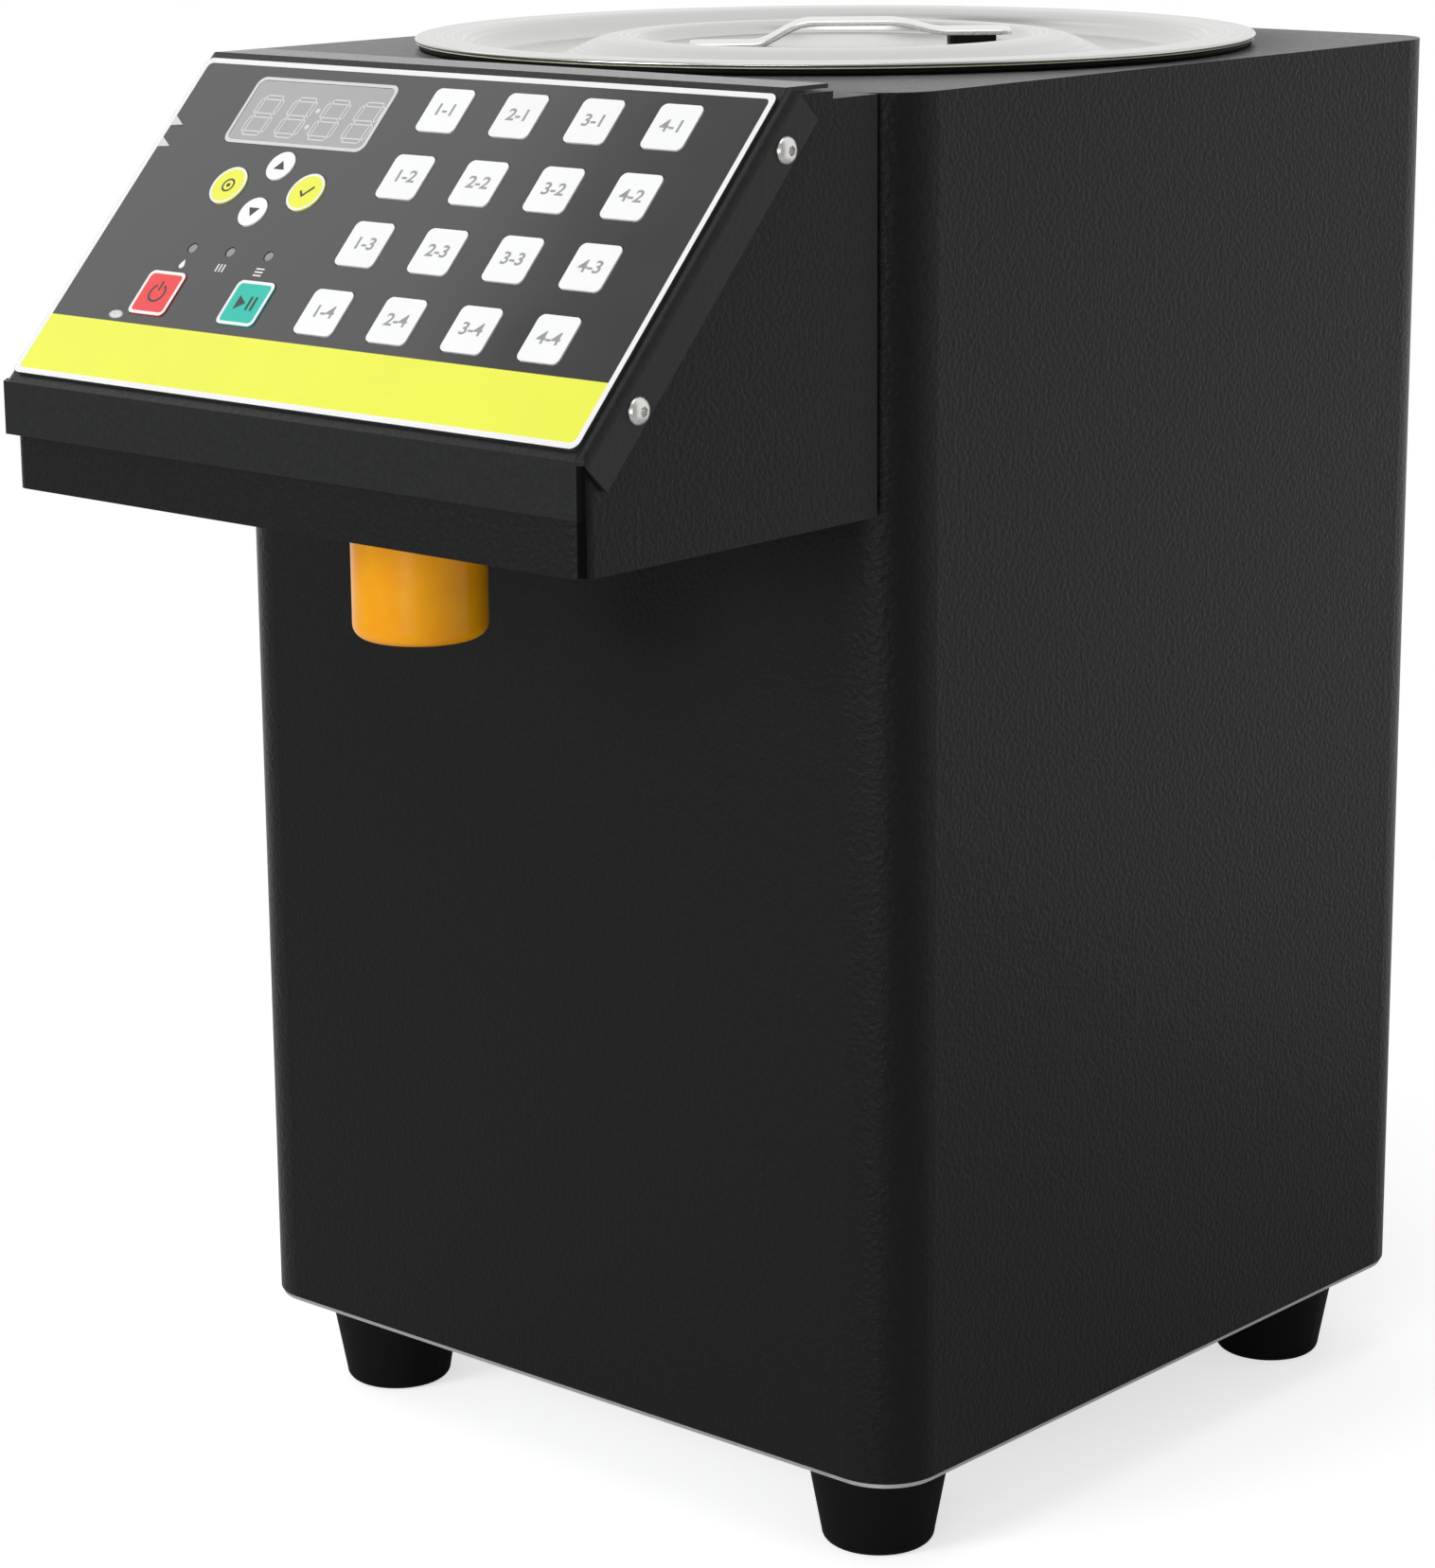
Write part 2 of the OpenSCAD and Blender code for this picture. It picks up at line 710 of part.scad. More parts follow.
heater_z = tank_floor_z + tank_round + heater_lift;
module heater_band() {
    r = tank_r + heater_gap;
    color([0.72, 0.4, 0.2]) framed() translate([0, 0, heater_z]) {
        difference() {
            tube(heater_h, r + heater_t, r);
            translate([-heater_split / 2, 0, -1]) cube([heater_split, tank_r * 2, heater_h + 2]);
        }
        for (sx = [-1, 1]) translate([sx * (heater_split / 2 + 1.5) - 1.5, r + 0.5, heater_h / 2 - 8]) {
            cube([3, 10, 16]);
        }
    }
}

module float_stem() {
    floor_in = tank_floor_z + tank_t;
    top = floor_in + float_lift + float_h + float_travel + 1;
    color([0.8, 0.8, 0.78]) framed() translate([float_x, float_y, 0]) {
        translate([0, 0, floor_in]) cylinder(r = float_stem_r, h = top - floor_in + float_cap_t);
        translate([0, 0, floor_in]) cylinder(r = float_cap_r, h = float_lift - float_gap);
        translate([0, 0, top]) cylinder(r = float_cap_r, h = float_cap_t);
    }
}

module level_float() {
    color([0.92, 0.92, 0.9]) framed() {
        translate([float_x, float_y, tank_floor_z + tank_t + float_lift]) {
            tube(float_h, float_r, float_stem_r + float_gap);
        }
    }
}

module lid() {
    color([0.82, 0.82, 0.8]) framed() translate([0, 0, lid_z]) rotate_extrude($fn = 144) {
        polygon(lid_profile());
    }
}

// the pressed sheet's upper face from the middle out, the rolled edge, and its lower face back
function lid_profile() = let (t = lid_t, e = lid_edge_t, w = lid_edge_w, n = e / 2) concat(
    [[0, -well_depth], [well_r - well_wall, -well_depth], [well_r, -crown_drop], [crown_r, -crown_drop],
        [moat_in, -moat_depth], [moat_out, -moat_depth], [lid_rim_in, 0]],
    [for (a = [90:-15:-90]) [lid_r - n + n * cos(a), -n + n * sin(a)]],
    [[lid_r - w, -e], [lid_r - w, -t], [lid_rim_in + t * 0.5, -t], [moat_out + t * 0.5, -moat_depth - t],
        [moat_in - t * 0.3, -moat_depth - t], [crown_r - t * 0.3, -crown_drop - t],
        [well_r + t * 0.5, -crown_drop - t], [well_r - well_wall + t * 0.5, -well_depth - t],
        [0, -well_depth - t]]);

// the strap stands in the well, with one foot on a rubber pad
module lid_handle() {
    floor_z = lid_z - well_depth;
    color([0.8, 0.8, 0.78]) framed() translate([0, 0, floor_z]) rotate([0, 0, lid_turn]) {
        rotate([90, 0, 0]) translate([0, 0, -handle_w / 2]) linear_extrude(handle_w) {
            polygon(handle_profile());
        }
        translate([handle_off + handle_l / 2 - handle_foot, 1 - handle_w / 2, 0]) {
            cube([pad_l, handle_w - 2, pad_t - touch]);
        }
    }
}

// the strap's underside from one foot over the arch to the other, and its upper face back
function ramp(u) = (1 - cos(180 * u)) / 2;
function handle_under() = let (a = handle_off - handle_l / 2, b = handle_off + handle_l / 2,
        a1 = a + handle_foot, b1 = b - handle_foot, run = (b1 - a1 - handle_top) / 2, n = 12) concat(
    [[a, 0]],
    [for (i = [0:n]) [a1 + run * i / n, handle_rise * ramp(i / n)]],
    [for (i = [0:n]) [b1 - run + run * i / n, handle_rise - (handle_rise - pad_t) * ramp(i / n)]],
    [[b, pad_t]]);
function handle_profile() = let (low = handle_under(), n = len(low)) concat(
    low, [for (i = [n - 1:-1:0]) low[i] + [0, handle_t]]);

// ---- pump ----

// one gear's outline: involute flanks, thinned by the backlash
function inv(a) = tan(a) * 180 / PI - a;
function tooth_half(r) = 90 / gear_teeth - gear_backlash + inv(gear_pressure)
    - inv(acos(min(1, gear_base_r / r)));
function tooth_radii() = [for (i = [0:tooth_steps])
    gear_root_r + (gear_tip_r - gear_root_r) * i / tooth_steps];
function gear_outline(turn) = [for (t = [0:gear_teeth - 1]) let (mid = turn + t * 360 / gear_teeth)
    each concat(
        [for (r = tooth_radii()) r * [cos(mid - tooth_half(r)), sin(mid - tooth_half(r))]],
        [for (i = [tooth_steps:-1:0]) let (r = tooth_radii()[i])
            r * [cos(mid + tooth_half(r)), sin(mid + tooth_half(r))]])];

// what is built upward on X and Y lies along X from the pump's open side
module along_x(x, z) {
    translate([x, 0, z]) rotate([90, 0, 90]) children();
}

module drive_gear() {
    color([0.7, 0.7, 0.68]) framed() {
        along_x(gear_x, drive_z) linear_extrude(gear_w) polygon(gear_outline(90));
        along_x(pump_front_x - journal_l, drive_z) {
            cylinder(r = shaft_r, h = journal_l + pump_t + bracket_t + motor_socket - 1);
        }
    }
}

module driven_gear() {
    color([0.7, 0.7, 0.68]) framed() {
        along_x(gear_x, driven_z) linear_extrude(gear_w) polygon(gear_outline(90 + 180 / gear_teeth));
        along_x(pump_front_x - journal_l, driven_z) cylinder(r = shaft_r, h = 2 * journal_l + gear_w);
    }
}

module pump_body() {
    hole = shaft_r + shaft_gap;
    depth = gear_w + 2 * cavity_gap;
    color([0.62, 0.63, 0.64]) framed() difference() {
        union() {
            translate([pump_front_x, -pump_half, pump_z - pump_half]) {
                cube([pump_t, 2 * pump_half, 2 * pump_half]);
            }
            pump_ports(hose_bore_r);
        }
        for (z = [drive_z, driven_z]) along_x(pump_front_x - 1, z) {
            cylinder(r = gear_tip_r + cavity_gap, h = depth + 1);
        }
        along_x(pump_front_x, drive_z) cylinder(r = hole, h = pump_t + 1);
        along_x(pump_front_x, driven_z) cylinder(r = hole, h = depth + journal_l + 1);
        pump_ports(spigot_bore_r, 1);
        pump_screw_places() translate([0, 0, -1]) cylinder(r = screw_hole_r, h = pump_t + 2);
    }
}

module pump_ports(r, past = 0) {
    translate([nozzle_x, pump_half + port_l + past, pump_z]) rotate([90, 0, 0]) {
        cylinder(r = r, h = 2 * (pump_half + port_l + past));
    }
}

module pump_screw_places() {
    k = pump_half - 5;
    for (sy = [-1, 1]) for (sz = [-1, 1]) along_x(pump_front_x, pump_z + sz * k) {
        translate([sy * k, 0, 0]) children();
    }
}

module pump_cover() {
    hole = shaft_r + shaft_gap;
    color([0.66, 0.67, 0.68]) framed() difference() {
        translate([pump_front_x - cover_plate_t, -pump_half, pump_z - pump_half]) {
            cube([cover_plate_t, 2 * pump_half, 2 * pump_half]);
        }
        for (z = [drive_z, driven_z]) along_x(pump_front_x - journal_l - 1, z) {
            cylinder(r = hole, h = journal_l + 2);
        }
        pump_screw_places() translate([0, 0, -cover_plate_t - 1]) {
            cylinder(r = screw_hole_r, h = cover_plate_t + 2);
        }
    }
}

module motor_bracket() {
    k = pump_half + 4;
    color([0.5, 0.5, 0.5]) framed() {
        difference() {
            translate([pump_back_x, -k, base_top]) cube([bracket_t, 2 * k, pump_z + pump_half - base_top]);
            along_x(pump_back_x - 1, drive_z) cylinder(r = motor_neck_r + 0.2, h = bracket_t + 2);
            pump_screw_places() translate([0, 0, pump_t - 1]) {
                cylinder(r = screw_hole_r, h = bracket_t + 2);
            }
        }
        difference() {
            translate([pump_back_x + bracket_t, -k, base_top]) cube([bracket_foot, 2 * k, bracket_t]);
            bracket_screw_places() translate([0, 0, -bracket_t - 1]) {
                cylinder(r = screw_hole_r, h = bracket_t + 2);
            }
        }
    }
}

module bracket_screw_places() {
    for (sy = [-1, 1]) for (dx = [10, bracket_foot - 8]) {
        translate([pump_back_x + bracket_t + dx, sy * (pump_half - 4), base_top + bracket_t]) children();
    }
}

module pump_motor() {
    color([0.25, 0.25, 0.27]) framed() along_x(motor_x, drive_z) difference() {
        union() {
            cylinder(r = motor_r - 2, h = motor_l * 0.3 + eps);
            translate([0, 0, motor_l * 0.3]) cylinder(r = motor_r, h = motor_l * 0.7);
            translate([0, 0, -bracket_t + touch]) cylinder(r = motor_neck_r, h = bracket_t + 1);
        }
        translate([0, 0, -bracket_t - 1]) cylinder(r = shaft_r + shaft_gap, h = bracket_t + motor_socket + 1);
    }
}

// ---- hoses ----

module suction_hose() {
    start_z = tank_floor_z - spigot_l + hose_lap;
    bore = hose_bore_r + hose_slip;
    color([0.85, 0.83, 0.75]) framed() {
        translate([nozzle_x, 0, 0]) {
            translate([0, spigot_y, pump_z + hose_bend]) {
                tube(start_z - pump_z - hose_bend, hose_r, bore);
            }
            translate([0, spigot_y - hose_bend, pump_z + hose_bend]) bend(90, hose_r, bore);
            translate([0, spigot_y - hose_bend, pump_z]) rotate([90, 0, 0]) {
                tube(spigot_y - hose_bend - pump_half - port_l + hose_lap, hose_r, bore);
            }
        }
    }
}

module delivery_hose() {
    bore = hose_bore_r + hose_slip;
    first_y = -pump_half - port_l + hose_lap;
    turn_y = hose_down_y + hose_bend;
    end_z = tray_z + barb_high - hose_lap;
    color([0.85, 0.83, 0.75]) framed() translate([nozzle_x, 0, 0]) {
        translate([0, first_y, pump_z]) rotate([90, 0, 0]) tube(first_y - turn_y, hose_r, bore);
        translate([0, turn_y, pump_z + hose_bend]) bend(180, hose_r, bore);
        translate([0, hose_down_y, pump_z + hose_bend]) {
            tube(hose_over_z - pump_z - 2 * hose_bend, hose_r, bore);
        }
        translate([0, hose_down_y - hose_bend, hose_over_z - hose_bend]) bend(0, hose_r, bore);
        translate([0, hose_down_y - hose_bend, hose_over_z]) rotate([90, 0, 0]) {
            tube(hose_down_y - nozzle_y - 2 * hose_bend, hose_r, bore);
        }
        translate([0, nozzle_y + hose_bend, hose_over_z - hose_bend]) bend(-90, hose_r, bore);
        translate([0, nozzle_y, end_z]) tube(hose_over_z - hose_bend - end_z, hose_r, bore);
    }
}

module hose_clamps() {
    w = 6;
    t = 1;
    color([0.7, 0.7, 0.7]) framed() translate([nozzle_x, 0, 0]) {
        for (s = [-1, 1]) translate([0, s * (pump_half + port_l / 2 + 1) + w / 2, pump_z]) {
            rotate([90, 0, 0]) tube(w, hose_r + t, hose_r + touch);
        }
        translate([0, spigot_y, tank_floor_z - spigot_l + hose_lap - w - 2]) {
            tube(w, hose_r + t, hose_r + touch);
        }
        translate([0, nozzle_y, tray_z + barb_high - hose_lap + 2]) tube(w, hose_r + t, hose_r + touch);
    }
}

// ---- nozzle ----

module nozzle_body() {
    color([0.75, 0.74, 0.7]) framed() translate([nozzle_x, nozzle_y, tray_z]) rotate_extrude() {
        polygon(nozzle_profile());
    }
}

function nozzle_profile() = let (f0 = tray_t, f1 = tray_t + nozzle_flange_t) [
    [outlet_r, -spout_l], [spout_r, -spout_l], [spout_r, -shank_l], [shank_r, -shank_l],
    [shank_r, f0], [nozzle_flange_r, f0], [nozzle_flange_r, f1], [chamber_r + 2, f1],
    [chamber_r + 2, barb_low], [spigot_r, barb_low], [spigot_r, barb_high],
    [spigot_bore_r, barb_high], [spigot_bore_r, valve_roof], [chamber_r, valve_roof],
    [chamber_r, -spout_l + spring_seat], [outlet_r, -spout_l + spring_seat]];

module nozzle_nut() {
    color([0.2, 0.2, 0.2]) framed() translate([nozzle_x, nozzle_y, tray_z - collar_h]) {
        tube(collar_h, collar_r, shank_r + touch);
    }
}

// the guide stem stops short of the spring's seat by more than the valve's stroke
module valve_poppet() {
    top = valve_roof - poppet_gap;
    stem_l = top - poppet_t - spring_seat - (-spout_l) - valve_stroke - 8;
    color([0.9, 0.9, 0.88]) framed() translate([nozzle_x, nozzle_y, tray_z]) difference() {
        union() {
            translate([0, 0, top - poppet_t]) cylinder(r = chamber_r - 0.06, h = poppet_t);
            translate([0, 0, top - poppet_t - stem_l]) cylinder(r = 1.6, h = stem_l + eps);
        }
        for (a = [0:90:270]) rotate([0, 0, a]) translate([chamber_r, 0, top - poppet_t - 1]) {
            cylinder(r = 2, h = poppet_t + 2, $fn = 32);
        }
    }
}

// the spring's wire, swept round its helix between the poppet and its seat
spring_low = -spout_l + spring_seat + wire_r + 0.05;
spring_high = valve_roof - poppet_gap - poppet_t - wire_r - 0.05;
wire_sides = 8;
turn_steps = 20;
spring_rings = spring_turns * turn_steps;
function spring_point(i, k) = let (a = 360 * i / turn_steps, b = 360 * k / wire_sides,
        r = spring_r + wire_r * cos(b))
    [r * cos(a), r * sin(a), spring_low + (spring_high - spring_low) * i / spring_rings + wire_r * sin(b)];
module valve_spring() {
    points = [for (i = [0:spring_rings]) for (k = [0:wire_sides - 1]) spring_point(i, k)];
    sides = [for (i = [0:spring_rings - 1]) for (k = [0:wire_sides - 1])
        [i * wire_sides + k, (i + 1) * wire_sides + k, (i + 1) * wire_sides + (k + 1) % wire_sides,
            i * wire_sides + (k + 1) % wire_sides]];
    first = [for (k = [0:wire_sides - 1]) k];
    last = [for (k = [wire_sides - 1:-1:0]) spring_rings * wire_sides + k];
    color([0.7, 0.7, 0.7]) framed() translate([nozzle_x, nozzle_y, tray_z]) {
        polyhedron(points = points, faces = concat(sides, [first], [last]));
    }
}

module nozzle_sleeve() {
    color([0.95, 0.68, 0.08]) framed() translate([nozzle_x, nozzle_y, tray_z - sleeve_h - touch]) {
        rotate_extrude() polygon(sleeve_profile());
    }
}

function sleeve_profile() = let (k = sleeve_round, ri = sleeve_r - sleeve_t, m = k - sleeve_t) concat(
    [for (a = [-90:10:0]) [sleeve_r - k + k * cos(a), k + k * sin(a)]],
    [[sleeve_r, sleeve_h], [ri, sleeve_h]],
    [for (a = [0:-10:-90]) [ri - m + m * cos(a), sleeve_t + m + m * sin(a)]],
    [[sleeve_hole_r, sleeve_t], [sleeve_hole_r, 0]]);

// ---- head ----

function under_z(y) = lip_z + (y - lip_y) * tan(slope_angle) - (cover_t + under_gap) / cos(slope_angle);
function under_y(z) = lip_y + (z - lip_z + (cover_t + under_gap) / cos(slope_angle)) / tan(slope_angle);

module tray_outline(t) {
    w = tray_right - tray_left - 2 * t;
    d = 2 * head_reach;
    translate([tray_left + tray_right, 2 * (tray_front + t) + d] / 2) {
        round_outline(w, d, tray_corner - t / 2);
    }
}

module head_tray() {
    outer = [[front_y, tray_z], [tray_front, tray_z], [tray_front, under_z(tray_front)],
        [under_y(strip_z), strip_z], [step_y, strip_z], [step_y, top_z], [front_y, top_z]];
    edge = under_y(strip_z) + 2;
    inner = [[front_y + 1, tray_z + tray_t], [tray_front - 1, tray_z + tray_t],
        [tray_front - 1, strip_z + 20], [edge, strip_z + 20], [edge, strip_z - tray_t],
        [step_y - tray_t, strip_z - tray_t], [step_y - tray_t, top_z - tray_t],
        [front_y + 1, top_z - tray_t]];
    color([0.16, 0.165, 0.165]) framed() difference() {
        union() {
            difference() {
                intersection() {
                    side_extrude(tray_left, tray_right, outer);
                    linear_extrude(strip_z + 1) tray_outline(0);
                }
                intersection() {
                    side_extrude(tray_left - 1, tray_right + 1, inner);
                    linear_extrude(strip_z + 30) tray_outline(tray_t);
                }
            }
            for (z = head_screw_zs) translate([0, front_y - tray_t, z - tab / 2]) {
                translate([tray_left + tray_t / 2, 0, 0]) cube([tab, tray_t, tab]);
                translate([right_screw_x - tab / 2, 0, 0]) {
                    cube([tray_right - tray_t / 2 - right_screw_x + tab / 2, tray_t, tab]);
                }
            }
        }
        head_screw_places() translate([0, 0, -tray_t - 1]) cylinder(r = screw_hole_r, h = tray_t + 2);
        translate([nozzle_x, nozzle_y, tray_z - 1]) cylinder(r = shank_r + 0.1, h = tray_t + 2);
        cover_screw_places() translate([0, 0, -tray_gap - cover_t - tray_t - 1]) {
            cylinder(r = screw_hole_r, h = tray_t + 2);
        }
    }
}

// extrudes an outline of Y and Z places along X
module side_extrude(x0, x1, outline) {
    translate([x0, 0, 0]) rotate([90, 0, 90]) linear_extrude(x1 - x0) polygon(outline);
}

// each place has its head on the outside of a side flange
screw_up = [22, 105.5];
screw_in = 8;
module cover_screw_places() {
    for (v = screw_up) on_slope() {
        translate([cover_right, v, -screw_in]) rotate([0, 90, 0]) children();
        translate([cover_left, v, -screw_in]) rotate([0, -90, 0]) children();
    }
}

// the head's own screws pass through the flat of the cabinet's front
tab = 20;
head_screw_zs = [tray_z + tab, top_z - tab];
right_screw_x = half_w - corner_r - nut_r - 0.7;
module head_screw_places() {
    for (x = [tray_left + tab / 2, right_screw_x]) for (z = head_screw_zs) {
        translate([x, front_y, z]) rotate([-90, 0, 0]) children();
    }
}

module head_cover() {
    color([0.13, 0.135, 0.135]) framed() {
        difference() {
            union() {
                on_slope() cover_channel();
                side_extrude(cover_left + lip_seam, cover_right - lip_seam, lip_section());
                side_extrude(cover_left + cover_bend + lip_seam, cover_right - cover_bend - lip_seam,
                    top_section());
            }
            cover_screw_places() translate([0, 0, -cover_t - 1]) {
                cylinder(r = screw_hole_r, h = cover_t + 2);
            }
            on_slope() panel_cutouts();
        }
    }
}

// the slope with its two side flanges, as one bent sheet
module cover_channel() {
    rotate([-90, 0, 0]) mirror([0, 1, 0]) linear_extrude(slope_len) difference() {
        intersection() {
            translate([cover_mid, -flange_d]) round_outline(cover_w, 2 * flange_d, cover_bend);
            translate([cover_left, -flange_d]) square([cover_w, flange_d]);
        }
        intersection() {
            translate([cover_mid, -flange_d - cover_t]) {
                round_outline(cover_w - 2 * cover_t, 2 * flange_d, cover_bend - cover_t);
            }
            translate([cover_left, -flange_d - 1]) square([cover_w, flange_d + 1]);
        }
    }
}

// a place inside the sloping sheet, v up the slope
function in_sheet(v) = let (n = -cover_t / 2)
    [lip_y + v * cos(slope_angle) - n * sin(slope_angle), lip_z + v * sin(slope_angle) + n * cos(slope_angle)];

// the lip and the level flange both start inside the sloping sheet
function lip_section() = [[lip_y, lip_z - lip_h], [lip_y, lip_z], in_sheet(1.5),
    [lip_y + cover_t, lip_z - cover_t * tan(45 - slope_angle / 2)], [lip_y + cover_t, lip_z - lip_h]];

function top_section() = let (z = slope_top_z, y = slope_top_y) [
    [y, z], in_sheet(slope_len - 1.5), [y + cover_t * tan(slope_angle / 2), z - cover_t],
    [step_y, z - cover_t], [step_y, z]];

module panel_cutouts() {
    translate([window_x, window_y, -cover_t - 1]) linear_extrude(cover_t + 2) {
        square([window_w - 3, window_h - 3], center = true);
    }
    lamp_places() translate([0, 0, -cover_t - 1]) cylinder(r = lamp_r + 0.2, h = cover_t + 2, $fn = 48);
}

module lamp_places() {
    for (i = [-1:1]) translate([duo_x + i * lamp_dx, lamp_y, 0]) children();
}

module panel_overlay() {
    w = overlay_right - overlay_left;
    h = overlay_high - overlay_low;
    color([0.25, 0.25, 0.25]) framed() on_slope() difference() {
        translate([overlay_left + w / 2, overlay_low + h / 2, 0]) {
            round_plate(w, h, overlay_t, overlay_corner);
        }
        for (k = SQUARE_KEYS) square_key_place(k) key_hole();
        for (s = [-1, 1]) duo_place(s) key_hole();
        for (s = [-1, 1]) translate([pad_x + s * pad_dx, pad_y, -1]) {
            cylinder(r = pad_big_r + key_gap, h = overlay_t + 2);
        }
        for (s = [-1, 1]) translate([pad_x, pad_y + s * pad_dy, -1]) {
            cylinder(r = pad_small_r + key_gap, h = overlay_t + 2);
        }
        translate([window_x, window_y, -1]) {
            round_plate(window_w - 2, window_h - 2, overlay_t + 2, 1.5);
        }
        lamp_places() translate([0, 0, -1]) cylinder(r = lamp_r + 0.2, h = overlay_t + 2, $fn = 48);
    }
}

module key_hole() {
    translate([0, 0, -1]) round_plate(key_w + 2 * key_gap, key_l + 2 * key_gap, overlay_t + 2,
        key_round + key_gap);
}

// column 1 is at the left, and row 1 at the top
module square_key_place(k) {
    translate([key_x0 + (k[0] - 1) * key_dx, key_y0 + (4 - k[1]) * key_dy, 0]) children();
}

module duo_place(s) {
    translate([duo_x + s * duo_dx / 2, key_y0, 0]) children();
}

// a key's underside clears the cover's sheet when the key is pressed
key_low = key_travel + 0.1;
key_t = overlay_t + key_proud - key_low;
module square_cap() {
    translate([0, 0, key_low]) round_plate(key_w, key_l, key_t, key_round);
}

module square_key(k) {
    color([0.93, 0.93, 0.93]) framed() on_slope() square_key_place(k) square_cap();
}

module duo_key(s, paint) {
    color(paint) framed() on_slope() duo_place(s) square_cap();
}

module round_key(dx, dy, r, paint) {
    color(paint) framed() on_slope() translate([pad_x + dx, pad_y + dy, key_low]) {
        cylinder(r = r, h = key_t);
    }
}

module display_module() {
    color([0.3, 0.3, 0.3]) framed() on_slope() translate([window_x, window_y, 0]) {
        translate([0, 0, -display_depth]) round_plate(window_w - 4, window_h - 4, display_depth, 1);
        for (s = [-1, 1]) translate([-window_w / 3, s * window_h / 3 - 1, -board_drop]) {
            cube([window_w / 1.5, 2, board_drop - display_depth]);
        }
        round_plate(window_w - 2.4, window_h - 2.4, overlay_t - touch, 1.3);
    }
}

module indicator_lamps() {
    color([0.75, 0.75, 0.75]) framed() on_slope() lamp_places() {
        translate([0, 0, -board_drop]) cylinder(r = lamp_r, h = board_drop + overlay_t - 0.2, $fn = 48);
    }
}

module control_board() {
    w = overlay_right - overlay_left - 2 * board_edge;
    h = overlay_high - overlay_low - 2 * board_edge;
    x = (overlay_left + overlay_right) / 2;
    y = (overlay_low + overlay_high) / 2;
    color([0.1, 0.35, 0.2]) framed() on_slope() {
        difference() {
            translate([x, y, -board_drop - board_t]) round_plate(w, h, board_t, 2);
            lamp_places() translate([0, 0, -board_drop - board_t - 1]) {
                cylinder(r = 0.6, h = board_t + 2, $fn = 24);
            }
        }
        for (sx = [-1, 1]) for (sy = [-1, 1]) {
            translate([x + sx * (w / 2 - 6), y + sy * (h / 2 - 6), -board_drop]) {
                cylinder(r = post_r, h = board_drop - cover_t, $fn = 32);
            }
        }
        for (i = [0:3]) translate([key_x0 + i * key_dx - 6, key_y0 + 1.5 * key_dy, -board_drop - board_t - 3]) {
            cube([12, 8, 3]);
        }
        translate([key_x0 + 3.2 * key_dx, key_y0, -board_drop - board_t - 9]) cylinder(r = 6, h = 9, $fn = 48);
    }
}

// ---- power ----

module power_supply() {
    color([0.68, 0.69, 0.7]) framed() {
        difference() {
            translate([supply_x, supply_y, base_top + supply_lift]) cube([supply_w, supply_l, supply_h]);
            for (i = [0:8]) translate([supply_x + 14, supply_y + 14 + i * 10, base_top + supply_lift + supply_h - 2]) {
                cube([supply_w - 28, 3, 3]);
            }
        }
        for (dx = [8, supply_w - 8]) for (dy = [8, supply_l - 8]) {
            translate([supply_x + dx, supply_y + dy, base_top]) cylinder(r = 4, h = supply_lift, $fn = 32);
        }
    }
}

module power_inlet() {
    color([0.1, 0.1, 0.1]) framed() on_back(-inlet_off, inlet_z) {
        difference() {
            union() {
                round_plate(inlet_flange_w, inlet_flange_h, inlet_flange_t, 4);
                translate([0, 0, -inlet_body_l + inlet_flange_t]) {
                    round_plate(inlet_body_w, inlet_body_h, inlet_body_l, 2);
                }
            }
            translate([0, 0, inlet_flange_t - inlet_hole_l]) {
                round_plate(inlet_hole_w, inlet_hole_h, inlet_hole_l + 1, 2.5);
            }
            for (sx = [-1, 1]) translate([sx * inlet_screw_dx, 0, -1]) {
                cylinder(r = screw_hole_r, h = inlet_flange_t + 2);
            }
        }
        for (p = [[-7, -2], [0, 2], [7, -2]]) {
            translate([p[0] - 1, p[1] - 2, inlet_flange_t - inlet_hole_l - eps]) cube([2, 4, 10]);
        }
    }
}

module switch_frame() {
    color([0.09, 0.09, 0.09]) framed() on_back(-inlet_off, switch_z) difference() {
        union() {
            round_plate(switch_w, switch_h, switch_lip_t, 1.5);
            translate([0, 0, -switch_body_l + eps]) {
                round_plate(switch_body_w, switch_body_h, switch_body_l, 0.5);
            }
        }
        translate([0, 0, -switch_well_l]) {
            round_plate(switch_well_w, switch_well_h, switch_well_l + switch_lip_t + 1, 0.5);
        }
        translate([0, -switch_body_h, -switch_well_l / 2]) rotate([-90, 0, 0]) {
            cylinder(r = rocker_pin_r + touch, h = 2 * switch_body_h, $fn = 48);
        }
    }
}

// the rocker turns about an upright pin, so that its two ends swing in and out
module power_rocker() {
    w = rocker_w / 2;
    depth = switch_well_l / 2;
    reach = switch_lip_t + depth + 0.6;
    height = switch_well_h - 0.8;
    color([0.65, 0.08, 0.07]) framed() on_back(-inlet_off, switch_z) translate([0, 0, -depth]) {
        rotate([-90, 0, 0]) translate([0, 0, -switch_body_h / 2]) {
            cylinder(r = rocker_pin_r, h = switch_body_h, $fn = 48);
        }
        rotate([0, rocker_tilt, 0]) rotate([90, 0, 0]) translate([0, 0, -height / 2]) {
            linear_extrude(height) polygon([[-w, reach - 2], [0, reach - 1], [w, reach - 2], [w - 1.5, 0],
                [2.5, -2.6], [-2.5, -2.6], [-w + 1.5, 0]]);
        }
    }
}

function slope_point(u, v, n) = [u, lip_y + v * cos(slope_angle) - n * sin(slope_angle),
    lip_z + v * sin(slope_angle) + n * cos(slope_angle)];

